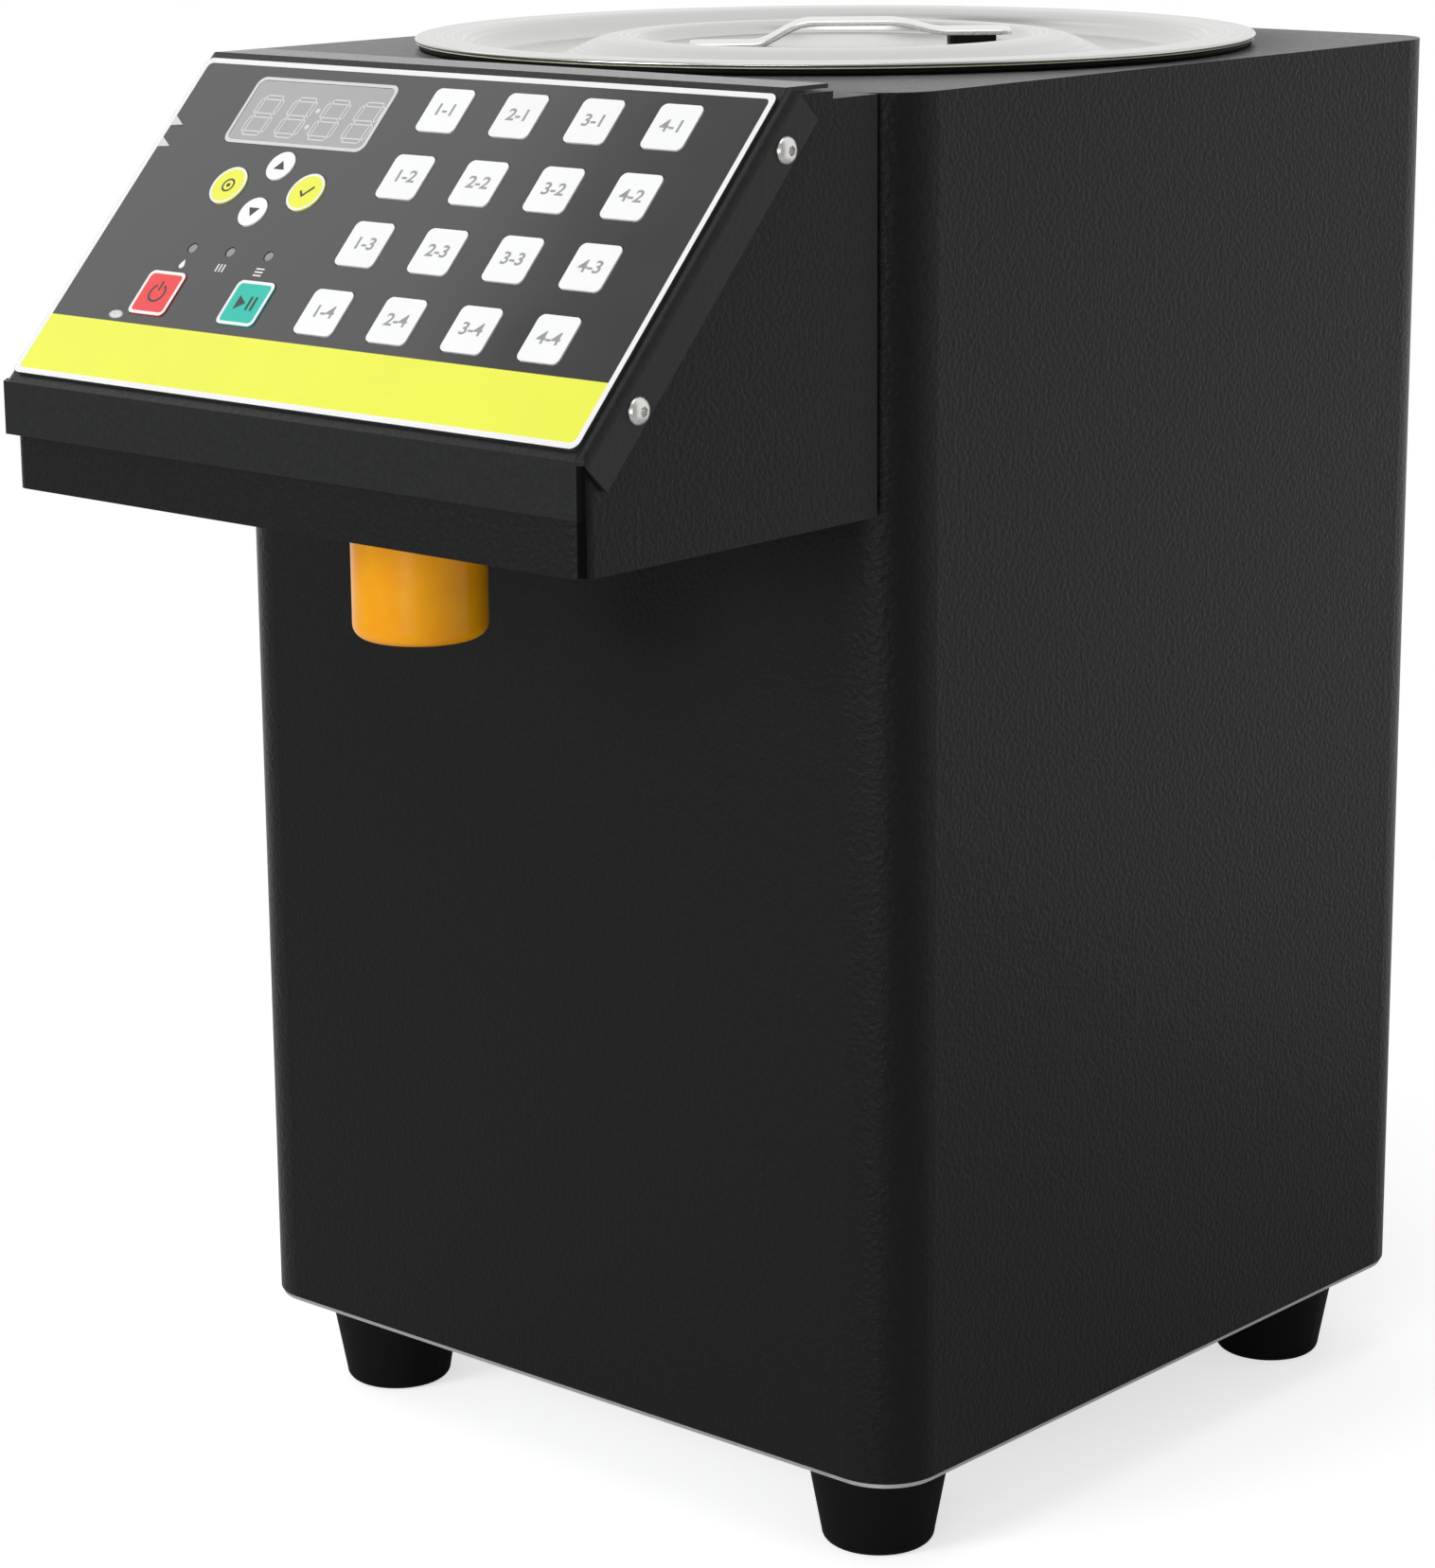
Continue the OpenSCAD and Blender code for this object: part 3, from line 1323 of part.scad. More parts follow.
module wiring() {
    r = wire_bundle_r;
    k = wire_step;
    up_x = -half_w + wire_inset;
    up_y = front_y + wire_inset;
    in_x = pass_left + k * 0.6;
    in_z = pass_low + k * 1.5;
    a = [supply_x + k * 0.75, supply_y + k * 0.5, base_top + supply_lift + supply_h];
    route = [a, a + [0, 0, k], [up_x, up_y, a[2] + 2 * k], [up_x, up_y, in_z - k * 0.5],
        [in_x, up_y, in_z], [in_x, front_y - k * 1.25, in_z],
        slope_point(in_x, slope_len * 0.6, -board_drop - board_t - wire_end_gap)];
    mains = [supply_x + supply_w - k * 0.6, supply_y + supply_l, base_top + supply_lift + k];
    plug = [-inlet_off, back_y + rear_t + inlet_flange_t - inlet_body_l, inlet_z];
    lead = [plug, plug - [0, k, 0], mains + [0, k, 0], mains];
    color([0.12, 0.12, 0.12]) framed() {
        bundle(route, r, 2 * r);
        bundle(lead, r, 2 * r);
    }
}

// ---- the nodes ----

yellow = [0.95, 0.93, 0.2];
white = [0.95, 0.95, 0.95];
body_shell();
rear_panel();
base_plate();
feet();
screws();
tank();
tank_bottom();
tank_gasket();
heater_band();
float_stem();
level_float();
pump_body();
pump_cover();
drive_gear();
driven_gear();
pump_motor();
motor_bracket();
suction_hose();
delivery_hose();
hose_clamps();
nozzle_body();
nozzle_nut();
valve_poppet();
valve_spring();
nozzle_sleeve();
head_tray();
head_cover();
panel_overlay();
display_module();
indicator_lamps();
control_board();
power_supply();
power_inlet();
switch_frame();
power_rocker();
wiring();
lid();
lid_handle();
for (k = SQUARE_KEYS) square_key(k);
round_key(-pad_dx, 0, pad_big_r, yellow);  // key_set
round_key(pad_dx, 0, pad_big_r, yellow);  // key_save
round_key(0, pad_dy, pad_small_r, white);  // key_up
round_key(0, -pad_dy, pad_small_r, white);  // key_down
duo_key(-1, [0.9, 0.22, 0.25]);  // key_power
duo_key(1, [0.15, 0.7, 0.62]);  // key_run
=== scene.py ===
"""Looks of the countertop fructose dispenser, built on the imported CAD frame.

Lengths are in millimetres and are turned into metres where a mesh is made. X is to the right, Y to the back, Z up.
Places on the sloping panel are written (u, v, n): u across, v up the slope from the lip, n out of it.
"""
import math

import bpy
from mathutils import Matrix, Vector

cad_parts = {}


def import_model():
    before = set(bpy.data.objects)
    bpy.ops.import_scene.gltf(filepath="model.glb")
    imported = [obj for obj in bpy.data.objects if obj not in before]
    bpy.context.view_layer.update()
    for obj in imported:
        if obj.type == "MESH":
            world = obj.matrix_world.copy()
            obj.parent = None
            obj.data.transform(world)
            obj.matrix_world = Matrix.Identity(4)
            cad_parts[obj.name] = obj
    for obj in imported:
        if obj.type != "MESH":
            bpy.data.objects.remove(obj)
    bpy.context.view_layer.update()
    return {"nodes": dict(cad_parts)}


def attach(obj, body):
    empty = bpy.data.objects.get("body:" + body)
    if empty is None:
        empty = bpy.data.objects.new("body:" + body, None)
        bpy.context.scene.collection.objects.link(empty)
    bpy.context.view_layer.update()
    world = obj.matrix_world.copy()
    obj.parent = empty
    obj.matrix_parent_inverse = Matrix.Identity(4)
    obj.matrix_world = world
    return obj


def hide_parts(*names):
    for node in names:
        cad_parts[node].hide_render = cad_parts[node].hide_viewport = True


MM = 0.001

# the head, as part.scad has it
MIDDLE_Y = -55.55  # part.scad's Y at the frame's origin
LIP_Y = -250.5 - MIDDLE_Y
LIP_Z = 343.7
LIP_H = 15.0
SLOPE_ANGLE = 46.5
COVER_RIGHT = 127.5
TRAY_RIGHT, TRAY_FRONT, TRAY_Z, TRAY_CORNER = 125.9, LIP_Y + 1.6, 313.4, 4.5

# the overlay and what is set in it, as part.scad has them
OVERLAY_T = 1.0
OVERLAY_LEFT, OVERLAY_RIGHT = -93.0, 124.4
OVERLAY_LOW, OVERLAY_HIGH = 2.9, 116.6
OVERLAY_CORNER = 2.6
KEY_TOP = 1.35
KEY_DX, KEY_DY, KEY_X0, KEY_Y0 = 27.7, 23.1, 12.3, 34.2
KEY_W, KEY_L, KEY_ROUND = 14.8, 14.8, 2.0
PAD_X, PAD_Y, PAD_DX, PAD_DY = -37.0, 72.4, 15.7, 8.1
PAD_SIDE_R = 6.4
DUO_X, DUO_DX = -36.4, 36.1
WINDOW_X, WINDOW_Y, WINDOW_W, WINDOW_H = -38.2, 99.2, 56.8, 23.6
LAMP_DX, LAMP_Y = 15.5, 50.4

# the print on the overlay and on the keys
PRINT_LOW, PRINT_HIGH = OVERLAY_T, OVERLAY_T + 0.05
BORDER_MARGIN, BORDER_LINE = 0.1, 1.75
BAND_HIGH = 23.5
WINDOW_LINE, WINDOW_ROUND, WINDOW_ROUND_IN = 1.1, 3.0, 2.2
DIGIT_LOW, DIGIT_HIGH = OVERLAY_T - 0.05, OVERLAY_T + 0.02
DIGITS_X, DIGITS_Y, DIGIT_PITCH = -36.3, 97.5, 13.5
DIGIT_W, DIGIT_H, DIGIT_SLANT = 7.9, 12.8, 0.09
SEGMENT_T, SEGMENT_GAP, SEGMENT_TIP, SEGMENT_LINE = 1.8, 0.2, 0.55, 0.42
COLON_DV, COLON_R = 2.9, 0.85
MARK_LEFT, MARK_TIP, MARK_T = -90.8, -86.2, 0.25
MARK_ROWS = (93.0, 85.2)
DOME_PLACE = (-65.7, 25.9, OVERLAY_T)
DOME_PROFILE = [(0.05, 0.42), (1.2, 0.36), (2.2, 0.22), (3.0, 0.0), (0.05, 0.0)]
DOME_SQUEEZE = 0.5
KEY_PRINT_HIGH = KEY_TOP + 0.04
KEY_RIM, PAD_RIM = 1.0, 0.8
LEGEND_LOW = KEY_TOP + 0.02
LEGEND_SIZE, LEGEND_WEIGHT, LEGEND_WIDE, LEGEND_T = 5.6, 0.1, 1.12, 0.02
SIGN_DROP_DOWN = 5.6

# the lid: radii from its axis, heights from its rim at LID_Z
LID_Z = 430.4
LID_R, LID_EDGE, LID_T, LID_ROLL = 127.5, 1.4, 0.8, 5.5
WELL_Z, WELL_IN, WELL_OUT = -4.3, 57.5, 60.0
CROWN_Z, CROWN_R = -0.4, 70.0
MOAT_IN, MOAT_OUT, MOAT_Z, RIM_IN = 84.0, 106.0, -6.3, 112.0
LID_FILLET, LID_STEPS = 5.0, 192
SEAL_IN, SEAL_OUT, SEAL_TIP = LID_R - 5.2, LID_R - 0.7, LID_R - 0.3
SEAL_MIDDLE_Z, SEAL_FOOT_Z = -LID_EDGE - 0.12, -LID_EDGE - 0.25
# a black ring under the lid's edge: painted shade for the dark gap between the rim and the cabinet's top
SHADOW_RING_R, SHADOW_RING_T, SHADOW_RING_FOOT_T, SHADOW_RING_FOOT_Z = 124.4, 2.0, 1.8, -LID_EDGE - 2.2

# the strap handle: places along it from the lid's axis, heights from the well's floor
STRAP_TURN = 41.0
STRAP_W, STRAP_T, STRAP_RISE = 22.0, 1.5, 6.6
STRAP_EDGE, STRAP_CORNER, STRAP_STEPS = 0.35, 3.0, 78
STRAP_LEFT, RISE_START, RISE_END = -44.0, -25.2, -6.7
FALL_START, FALL_END, STRAP_RIGHT = 16.3, 34.8, 53.6
FOOT_PAD_H, FOOT_PAD_END, FOOT_PAD_W = 3.6, 48.9, STRAP_W - 2
FOOT_PAD_ROUND, FOOT_PAD_GAP, FOOT_PAD_SOFT = 1.2, 0.02, 0.3

SCREW_SOFT, SCREW_ANGLE = 0.7, 50

# the photograph's camera, fitted to the edges of the cabinet, the head and the lid
CAMERA_PLACE = (848.8, -1016.8 - MIDDLE_Y, 520.3)
CAMERA_AZIMUTH, CAMERA_ELEVATION, CAMERA_ROLL = 41.47, 13.82, -0.459
FOCAL_PIXELS, PHOTO_HEIGHT = 4534.4, 1657
SENSOR = 36.0

# the floor, in metres, and the strengths of the surround
FLOOR_HALF, FLOOR_NEAR, FLOOR_FAR = 3.0, 0.42, 0.95
FLOOR_LIFT = 0.65
ROOM_FRONT, ROOM_BACK, ROOM_TURN, ROOM_DIFFUSE = 0.45, 1.0, 0.25, 0.35

# softboxes aimed at the object: name, place and size in metres, radiance
LIGHT_TARGET = (0, -0.1, 0.3)
SOFTBOXES = (
    ("top_softbox", (0.2, -0.6, 2.3), (1.2, 1.2), 1.6),
    ("front_softbox", (-0.6, -2.2, 0.9), (1.0, 1.0), 8.0),
    ("low_softbox", (0.9, -2.2, 0.4), (0.9, 0.9), 5.0),
)


# ---- small helpers ----

def slope_matrix():
    """From the panel's own axes (u, v, n) to the frame's."""
    place = Matrix.Translation(Vector((0, LIP_Y, LIP_Z)) * MM)
    return place @ Matrix.Rotation(math.radians(SLOPE_ANGLE), 4, "X")


def linked(name, data):
    """A new object in the scene."""
    thing = bpy.data.objects.new(name, data)
    bpy.context.collection.objects.link(thing)
    return thing


def new_object(name, vertices, faces, material, body="cabinet", matrix=None, smooth=False):
    """A mesh from vertices in millimetres, moved by a matrix in metres, riding on a body."""
    mesh = bpy.data.meshes.new(name)
    points = [Vector(v) * MM for v in vertices]
    if matrix is not None:
        points = [matrix @ p for p in points]
    mesh.from_pydata(points, [], faces)
    mesh.validate()
    mesh.update()
    piece = linked(name, mesh)
    mesh.materials.append(material)
    if smooth:
        for polygon in mesh.polygons:
            polygon.use_smooth = True
    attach(piece, body)
    return piece


def round_outline(cx, cy, w, h, r, steps=6):
    """A rounded rectangle's points, counter-clockwise."""
    points = []
    for sx, sy, start in ((1, 1, 0), (-1, 1, 90), (-1, -1, 180), (1, -1, 270)):
        for i in range(steps + 1):
            a = math.radians(start + 90 * i / steps)
            points.append((cx + sx * (w / 2 - r) + r * math.cos(a), cy + sy * (h / 2 - r) + r * math.sin(a)))
    return points


def circle_outline(cx, cy, r, steps=40):
    return [(cx + r * math.cos(2 * math.pi * i / steps), cy + r * math.sin(2 * math.pi * i / steps))
            for i in range(steps)]


def prism_faces(n):
    """A closed prism's faces, where the n points of its foot come before the n points of its top."""
    faces = [tuple(range(n - 1, -1, -1)), tuple(range(n, 2 * n))]
    return faces + [(i, (i + 1) % n, n + (i + 1) % n, n + i) for i in range(n)]


def slab(name, outline, low, high, material, body="cabinet"):
    """A closed flat piece on the slope, from n = low to n = high."""
    vertices = [(u, v, n) for n in (low, high) for u, v in outline]
    return new_object(name, vertices, prism_faces(len(outline)), material, body, slope_matrix())


def ring(name, outer, inner, low, high, material, body="cabinet"):
    """A closed flat ring on the slope between two outlines with as many points."""
    n = len(outer)
    vertices = [(u, v, z) for z in (low, high) for line in (outer, inner) for u, v in line]
    faces = []
    for i in range(n):
        j = (i + 1) % n
        faces += [(i, n + i, n + j, j), (2 * n + i, 2 * n + j, 3 * n + j, 3 * n + i),
                  (i, j, 2 * n + j, 2 * n + i), (n + i, 3 * n + i, 3 * n + j, n + j)]
    return new_object(name, vertices, faces, material, body, slope_matrix())


def lathe(name, profile, material, body, centre, steps, matrix=None):
    """A smooth surface of revolution about a Z axis; the profile's points are (radius, height)."""
    vertices, faces = [], []
    n = len(profile)
    for i in range(steps):
        a = 2 * math.pi * i / steps
        vertices += [(centre[0] + r * math.cos(a), centre[1] + r * math.sin(a), z) for r, z in profile]
    for i in range(steps):
        j = (i + 1) % steps
        for k in range(n):
            m = (k + 1) % n
            faces.append((i * n + k, j * n + k, j * n + m, i * n + m))
    return new_object(name, vertices, faces, material, body, matrix, smooth=True)


def label(name, words, place, material, body):
    """Raised print on the slope: words about a place (u, v, n)."""
    curve = bpy.data.curves.new(name, "FONT")
    curve.body = words
    curve.size = LEGEND_SIZE * MM
    curve.align_x = "CENTER"
    curve.align_y = "CENTER"
    curve.extrude = LEGEND_T * MM
    curve.offset = LEGEND_WEIGHT * MM
    text = linked(name, curve)
    text.matrix_world = (slope_matrix() @ Matrix.Translation(Vector(place) * MM)
                         @ Matrix.Diagonal((LEGEND_WIDE, 1.0, 1.0, 1.0)))
    curve.materials.append(material)
    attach(text, body)


def soften(piece, width, angle=35):
    """Rounds a piece's hard edges with a modifier, without touching its mesh."""
    bevel = piece.modifiers.new("soft_edges", "BEVEL")
    bevel.width = width * MM
    bevel.segments = 3
    bevel.limit_method = "ANGLE"
    bevel.angle_limit = math.radians(angle)
    bevel.harden_normals = True


def shade_by_angle(piece, degrees):
    """Smooth shading with sharp edges kept where faces meet at more than an angle."""
    mesh = piece.data
    for polygon in mesh.polygons:
        polygon.use_smooth = True
    mesh.set_sharp_from_angle(angle=math.radians(degrees))


# ---- materials ----

def shader(name, colour, roughness=0.5, metallic=0.0, **sockets):
    material = bpy.data.materials.new(name)
    material.use_nodes = True
    node = material.node_tree.nodes["Principled BSDF"]
    node.inputs["Base Color"].default_value = (*colour, 1)
    node.inputs["Roughness"].default_value = roughness
    node.inputs["Metallic"].default_value = metallic
    for socket, value in sockets.items():
        node.inputs[socket.replace("_", " ")].default_value = value
    return material


def add(material, kind, **settings):
    node = material.node_tree.nodes.new(kind)
    for key, value in settings.items():
        setattr(node, key, value)
    return node


def join(tree, *pairs):
    """Links each output to its input."""
    for output, socket in pairs:
        tree.links.new(output, socket)


def noise_of(material, scale, detail=2.0, roughness=0.5, stretch=None):
    """A noise texture in object coordinates, in metres, so that its size is real."""
    tree = material.node_tree
    place = add(material, "ShaderNodeTexCoord")
    source = place.outputs["Object"]
    if stretch:
        mapping = add(material, "ShaderNodeMapping")
        mapping.inputs["Scale"].default_value = stretch
        tree.links.new(source, mapping.inputs["Vector"])
        source = mapping.outputs["Vector"]
    noise = add(material, "ShaderNodeTexNoise")
    noise.inputs["Scale"].default_value = scale
    noise.inputs["Detail"].default_value = detail
    noise.inputs["Roughness"].default_value = roughness
    tree.links.new(source, noise.inputs["Vector"])
    return noise


def bump_from(material, source, strength, distance, under=None):
    tree = material.node_tree
    bump = add(material, "ShaderNodeBump")
    bump.inputs["Strength"].default_value = strength
    bump.inputs["Distance"].default_value = distance
    tree.links.new(source, bump.inputs["Height"])
    if under:
        tree.links.new(under.outputs["Normal"], bump.inputs["Normal"])
    tree.links.new(bump.outputs["Normal"], tree.nodes["Principled BSDF"].inputs["Normal"])
    return bump


def spread(material, source, low, high, socket):
    """Maps a noise, whose values lie mostly from 0.3 to 0.7, onto a range of a socket."""
    tree = material.node_tree
    node = add(material, "ShaderNodeMapRange")
    node.inputs["From Min"].default_value = 0.3
    node.inputs["From Max"].default_value = 0.7
    node.inputs["To Min"].default_value = low
    node.inputs["To Max"].default_value = high
    tree.links.new(source, node.inputs["Value"])
    tree.links.new(node.outputs["Result"], tree.nodes["Principled BSDF"].inputs[socket])


def tint(material, source, dark, light):
    """Colours a surface between two colours by a noise."""
    tree = material.node_tree
    ramp = add(material, "ShaderNodeValToRGB")
    ramp.color_ramp.elements[0].position = 0.35
    ramp.color_ramp.elements[1].position = 0.65
    ramp.color_ramp.elements[0].color = (*dark, 1)
    ramp.color_ramp.elements[1].color = (*light, 1)
    tree.links.new(source, ramp.inputs["Fac"])
    tree.links.new(ramp.outputs["Color"], tree.nodes["Principled BSDF"].inputs["Base Color"])


def powder_coat(name, colour, grain, roughness, specular):
    """Orange-peel powder coat: coarse dimples with fine grain over them."""
    material = shader(name, colour, roughness, Specular_IOR_Level=specular,
                      Sheen_Weight=0.25, Sheen_Roughness=0.3)
    coarse = noise_of(material, scale=620)
    fine = noise_of(material, scale=1900, roughness=0.6)
    first = bump_from(material, coarse.outputs["Fac"], grain, 0.0006)
    bump_from(material, fine.outputs["Fac"], grain * 0.6, 0.0002, first)
    tint(material, coarse.outputs["Fac"], colour, tuple(c * 1.4 for c in colour))
    spread(material, fine.outputs["Fac"], roughness - 0.05, roughness + 0.1, "Roughness")
    return material


def brushed(name, colour, roughness, stretch=(1, 1, 60)):
    """Metal brushed across the axis that stretch scales up."""
    material = shader(name, colour, roughness, 1.0)
    lines = noise_of(material, 260, 3.0, 0.6, stretch)
    bump_from(material, lines.outputs["Fac"], 0.12, 0.0001)
    spread(material, lines.outputs["Fac"], roughness - 0.05, roughness + 0.08, "Roughness")
    return material


def moulded(name, colour, roughness, grain=0.05, scale=1400, specular=0.5):
    """Moulded or printed plastic with a slight grain and faint unevenness of its gloss."""
    material = shader(name, colour, roughness, Specular_IOR_Level=specular)
    grains = noise_of(material, scale, 3.0, 0.6)
    smears = noise_of(material, 40, 4.0)
    bump_from(material, grains.outputs["Fac"], grain, 0.0002)
    tint(material, smears.outputs["Fac"], tuple(c * 0.97 for c in colour), colour)
    spread(material, smears.outputs["Fac"], roughness - 0.02, roughness + 0.03, "Roughness")
    return material


def spun_steel():
    """Pressed and spun stainless sheet: fine rings about the lid's own axis."""
    material = shader("spun_steel", (0.6, 0.598, 0.585), 0.2, 1.0)
    tree = material.node_tree
    place = add(material, "ShaderNodeTexCoord")
    shift = add(material, "ShaderNodeMapping")
    shift.inputs["Location"].default_value = (0, MIDDLE_Y * MM, 0)
    split = add(material, "ShaderNodeSeparateXYZ")
    total = add(material, "ShaderNodeMath", operation="ADD")
    for i, axis in enumerate("XY"):
        square = add(material, "ShaderNodeMath", operation="POWER")
        square.inputs[1].default_value = 2
        join(tree, (split.outputs[axis], square.inputs[0]), (square.outputs[0], total.inputs[i]))
    root = add(material, "ShaderNodeMath", operation="SQRT")
    radius = add(material, "ShaderNodeCombineXYZ")
    noise = add(material, "ShaderNodeTexNoise")
    noise.inputs["Scale"].default_value = 900
    noise.inputs["Detail"].default_value = 3
    join(tree, (place.outputs["Object"], shift.inputs["Vector"]),
         (shift.outputs["Vector"], split.inputs["Vector"]),
         (total.outputs[0], root.inputs[0]),
         (root.outputs[0], radius.inputs["X"]),
         (radius.outputs["Vector"], noise.inputs["Vector"]))
    bump_from(material, noise.outputs["Fac"], 0.15, 0.0001)
    spread(material, noise.outputs["Fac"], 0.16, 0.3, "Roughness")
    return material


def orange_plastic():
    """The sleeve's cloudy, slightly translucent plastic."""
    material = shader("orange_plastic", (0.9, 0.34, 0.003), 0.3, Subsurface_Weight=0.25, Subsurface_Scale=0.005,
                      Coat_Weight=0.06, Coat_Roughness=0.15, Specular_IOR_Level=0.2)
    material.node_tree.nodes["Principled BSDF"].inputs["Subsurface Radius"].default_value = (1.0, 0.4, 0.03)
    clouds = noise_of(material, 60, 3.0)
    tint(material, clouds.outputs["Fac"], (0.9, 0.33, 0.002), (0.95, 0.4, 0.004))
    bump_from(material, clouds.outputs["Fac"], 0.1, 0.0005)
    return material


# every material, by the short name that this script uses
M = {
    "coat": powder_coat("textured_black", (0.004, 0.0043, 0.0043), 0.5, 0.4, 0.15),
    "cover": powder_coat("smooth_black", (0.009, 0.0095, 0.0095), 0.12, 0.3, 0.22),
    "zinc": brushed("zinc_plate", (0.55, 0.56, 0.58), 0.38, (1, 30, 1)),
    "rubber": moulded("black_rubber", (0.0035, 0.0035, 0.0035), 0.6, 0.3, 900, 0.1),
    # the black of the painted shade down the head's right front corner
    "seam": moulded("painted_shade_black", (0.002, 0.002, 0.002), 0.8, 0.1, 900, 0.05),
    "screw": brushed("screw_steel", (0.7, 0.69, 0.67), 0.25, (1, 1, 8)),
    "steel": brushed("tank_steel", (0.74, 0.73, 0.71), 0.24, (1, 1, 20)),
    "lid": spun_steel(),
    "strap": brushed("strap_steel", (0.74, 0.735, 0.72), 0.22, (1, 12, 1)),
    "seal": moulded("seal_silicone", (0.85, 0.87, 0.6), 0.35),
    "silicone": moulded("clear_silicone", (0.75, 0.73, 0.66), 0.4),
    "heater": brushed("heater_band", (0.6, 0.38, 0.22), 0.4),
    "white": moulded("white_plastic", (0.82, 0.82, 0.8), 0.4),
    "alloy": brushed("cast_alloy", (0.55, 0.56, 0.57), 0.4),
    "motor": moulded("motor_paint", (0.04, 0.04, 0.045), 0.4),
    "plastic": moulded("black_plastic", (0.015, 0.015, 0.016), 0.45),
    "orange": orange_plastic(),
    "overlay": moulded("overlay_grey", (0.032, 0.033, 0.033), 0.1, 0.02, 2500),
    "window": moulded("display_filter", (0.37, 0.365, 0.367), 0.2, 0.02),
    "segment": moulded("digit_segment", (0.35, 0.345, 0.347), 0.3),
    "segment_edge": moulded("digit_edge", (0.66, 0.655, 0.655), 0.3),
    "lamp": moulded("lamp_diffuser", (0.26, 0.26, 0.26), 0.35),
    "board": moulded("circuit_board", (0.02, 0.12, 0.05), 0.4),
    "key": moulded("key_white", (0.88, 0.89, 0.885), 0.35, 0.06, 2200),
    "yellow": moulded("print_yellow", (0.82, 0.85, 0.06), 0.35, 0.04, 2500),
    "red": moulded("print_red", (0.8, 0.045, 0.05), 0.35, 0.04, 2500),
    "teal": moulded("print_teal", (0.006, 0.5, 0.39), 0.35, 0.04, 2500),
    "print": moulded("print_white", (0.85, 0.85, 0.85), 0.4, 0.03, 2500),
    "ink": moulded("print_ink", (0.31, 0.31, 0.31), 0.4, 0.03, 2500),
    "grey_print": moulded("print_grey", (0.66, 0.66, 0.66), 0.4, 0.03, 2500),
    "dark_ink": moulded("print_dark_ink", (0.03, 0.03, 0.03), 0.4, 0.03, 2500),
    "rocker": moulded("rocker_red", (0.45, 0.02, 0.018), 0.3),
}

# the materials of the CAD nodes; those not named here are white keys
NODE_MATERIALS = {
    "coat": ["body_shell", "rear_panel", "head_tray"],
    "cover": ["head_cover"],
    "zinc": ["base_plate", "motor_bracket", "hose_clamps", "power_supply"],
    "rubber": ["feet"],
    "screw": ["screws"],
    "steel": ["tank", "tank_bottom", "float_stem", "nozzle_body", "valve_spring", "drive_gear", "driven_gear",
              "lid_handle"],
    "lid": ["lid"],
    "silicone": ["tank_gasket", "suction_hose", "delivery_hose"],
    "heater": ["heater_band"],
    "white": ["level_float", "valve_poppet"],
    "alloy": ["pump_body", "pump_cover"],
    "motor": ["pump_motor"],
    "plastic": ["nozzle_nut", "power_inlet", "switch_frame", "wiring"],
    "orange": ["nozzle_sleeve"],
    "overlay": ["panel_overlay"],
    "window": ["display_module"],
    "lamp": ["indicator_lamps"],
    "board": ["control_board"],
    "yellow": ["key_set", "key_save"],
    "red": ["key_power"],
    "teal": ["key_run"],
    "rocker": ["power_rocker"],
}


def paint_nodes(nodes):
    by_node = {node: key for key, names in NODE_MATERIALS.items() for node in names}
    for name, node in nodes.items():
        material = M[by_node.get(name, "key")]
        node.data.materials.clear()
        node.data.materials.append(material)


# ---- the lid ----

def filleted(points, radius, steps=8):
    """Rounds the corners of an open outline, except its two ends."""
    out = [points[0]]
    for a, b, c in zip(points, points[1:], points[2:]):
        a, b, c = Vector(a), Vector(b), Vector(c)
        reach = min(radius, (a - b).length * 0.48, (c - b).length * 0.48)
        start, end = b + (a - b).normalized() * reach, b + (c - b).normalized() * reach
        for i in range(steps + 1):
            t = i / steps
            out.append(tuple(start * (1 - t) ** 2 + b * 2 * t * (1 - t) + end * t ** 2))
    out.append(points[-1])
    return out


def lid_lathe(name, profile, material):
    """A surface of revolution about the lid's axis, with its heights from the lid's rim."""
    points = [(r, LID_Z + z) for r, z in profile]
    return lathe(name, points, material, "lid_assembly", (0, -MIDDLE_Y), LID_STEPS)


def lid_dish():
    """The pressed sheet with soft draws, its rolled edge, the seal line under it, and a black ring under the seal:
    painted shade for the dark gap under the lid's rim.
    """
    # the points at 0.5 and WELL_IN - 4 keep the shading of the well's flat floor even
    top = filleted([(0.01, WELL_Z), (0.5, WELL_Z), (WELL_IN - 4, WELL_Z), (WELL_IN, WELL_Z),
                    (WELL_OUT, CROWN_Z), (CROWN_R, CROWN_Z), (MOAT_IN, MOAT_Z), (MOAT_OUT, MOAT_Z),
                    (RIM_IN, 0), (LID_R - LID_EDGE / 2, 0)], LID_FILLET)
    half = LID_EDGE / 2
    edge = [(LID_R - half + half * math.cos(math.radians(a)), -half + half * math.sin(math.radians(a)))
            for a in range(75, -91, -15)]
    under = [(LID_R - LID_ROLL, -LID_EDGE), (LID_R - LID_ROLL, -LID_T)]
    under += [(r, z - LID_T) for r, z in reversed(top[:-1])]
    lid = lid_lathe("lid_dish", top + edge + under, M["lid"])
    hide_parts("lid")
    seal = lid_lathe("lid_seal", [(SEAL_IN, -LID_EDGE), (SEAL_OUT, -LID_EDGE), (SEAL_TIP, SEAL_MIDDLE_Z),
                                  (SEAL_OUT, SEAL_FOOT_Z), (SEAL_IN, SEAL_FOOT_Z)], M["seal"])
    # a black ring under the seal, in the feet's black rubber: painted shade for the dark gap under the rim
    shadow_ring = lid_lathe("lid_shadow_ring", [(SHADOW_RING_R, SEAL_FOOT_Z), (SHADOW_RING_R + SHADOW_RING_T, SEAL_FOOT_Z),
                                    (SHADOW_RING_R + SHADOW_RING_FOOT_T, SHADOW_RING_FOOT_Z), (SHADOW_RING_R, SHADOW_RING_FOOT_Z)],
                      M["rubber"])


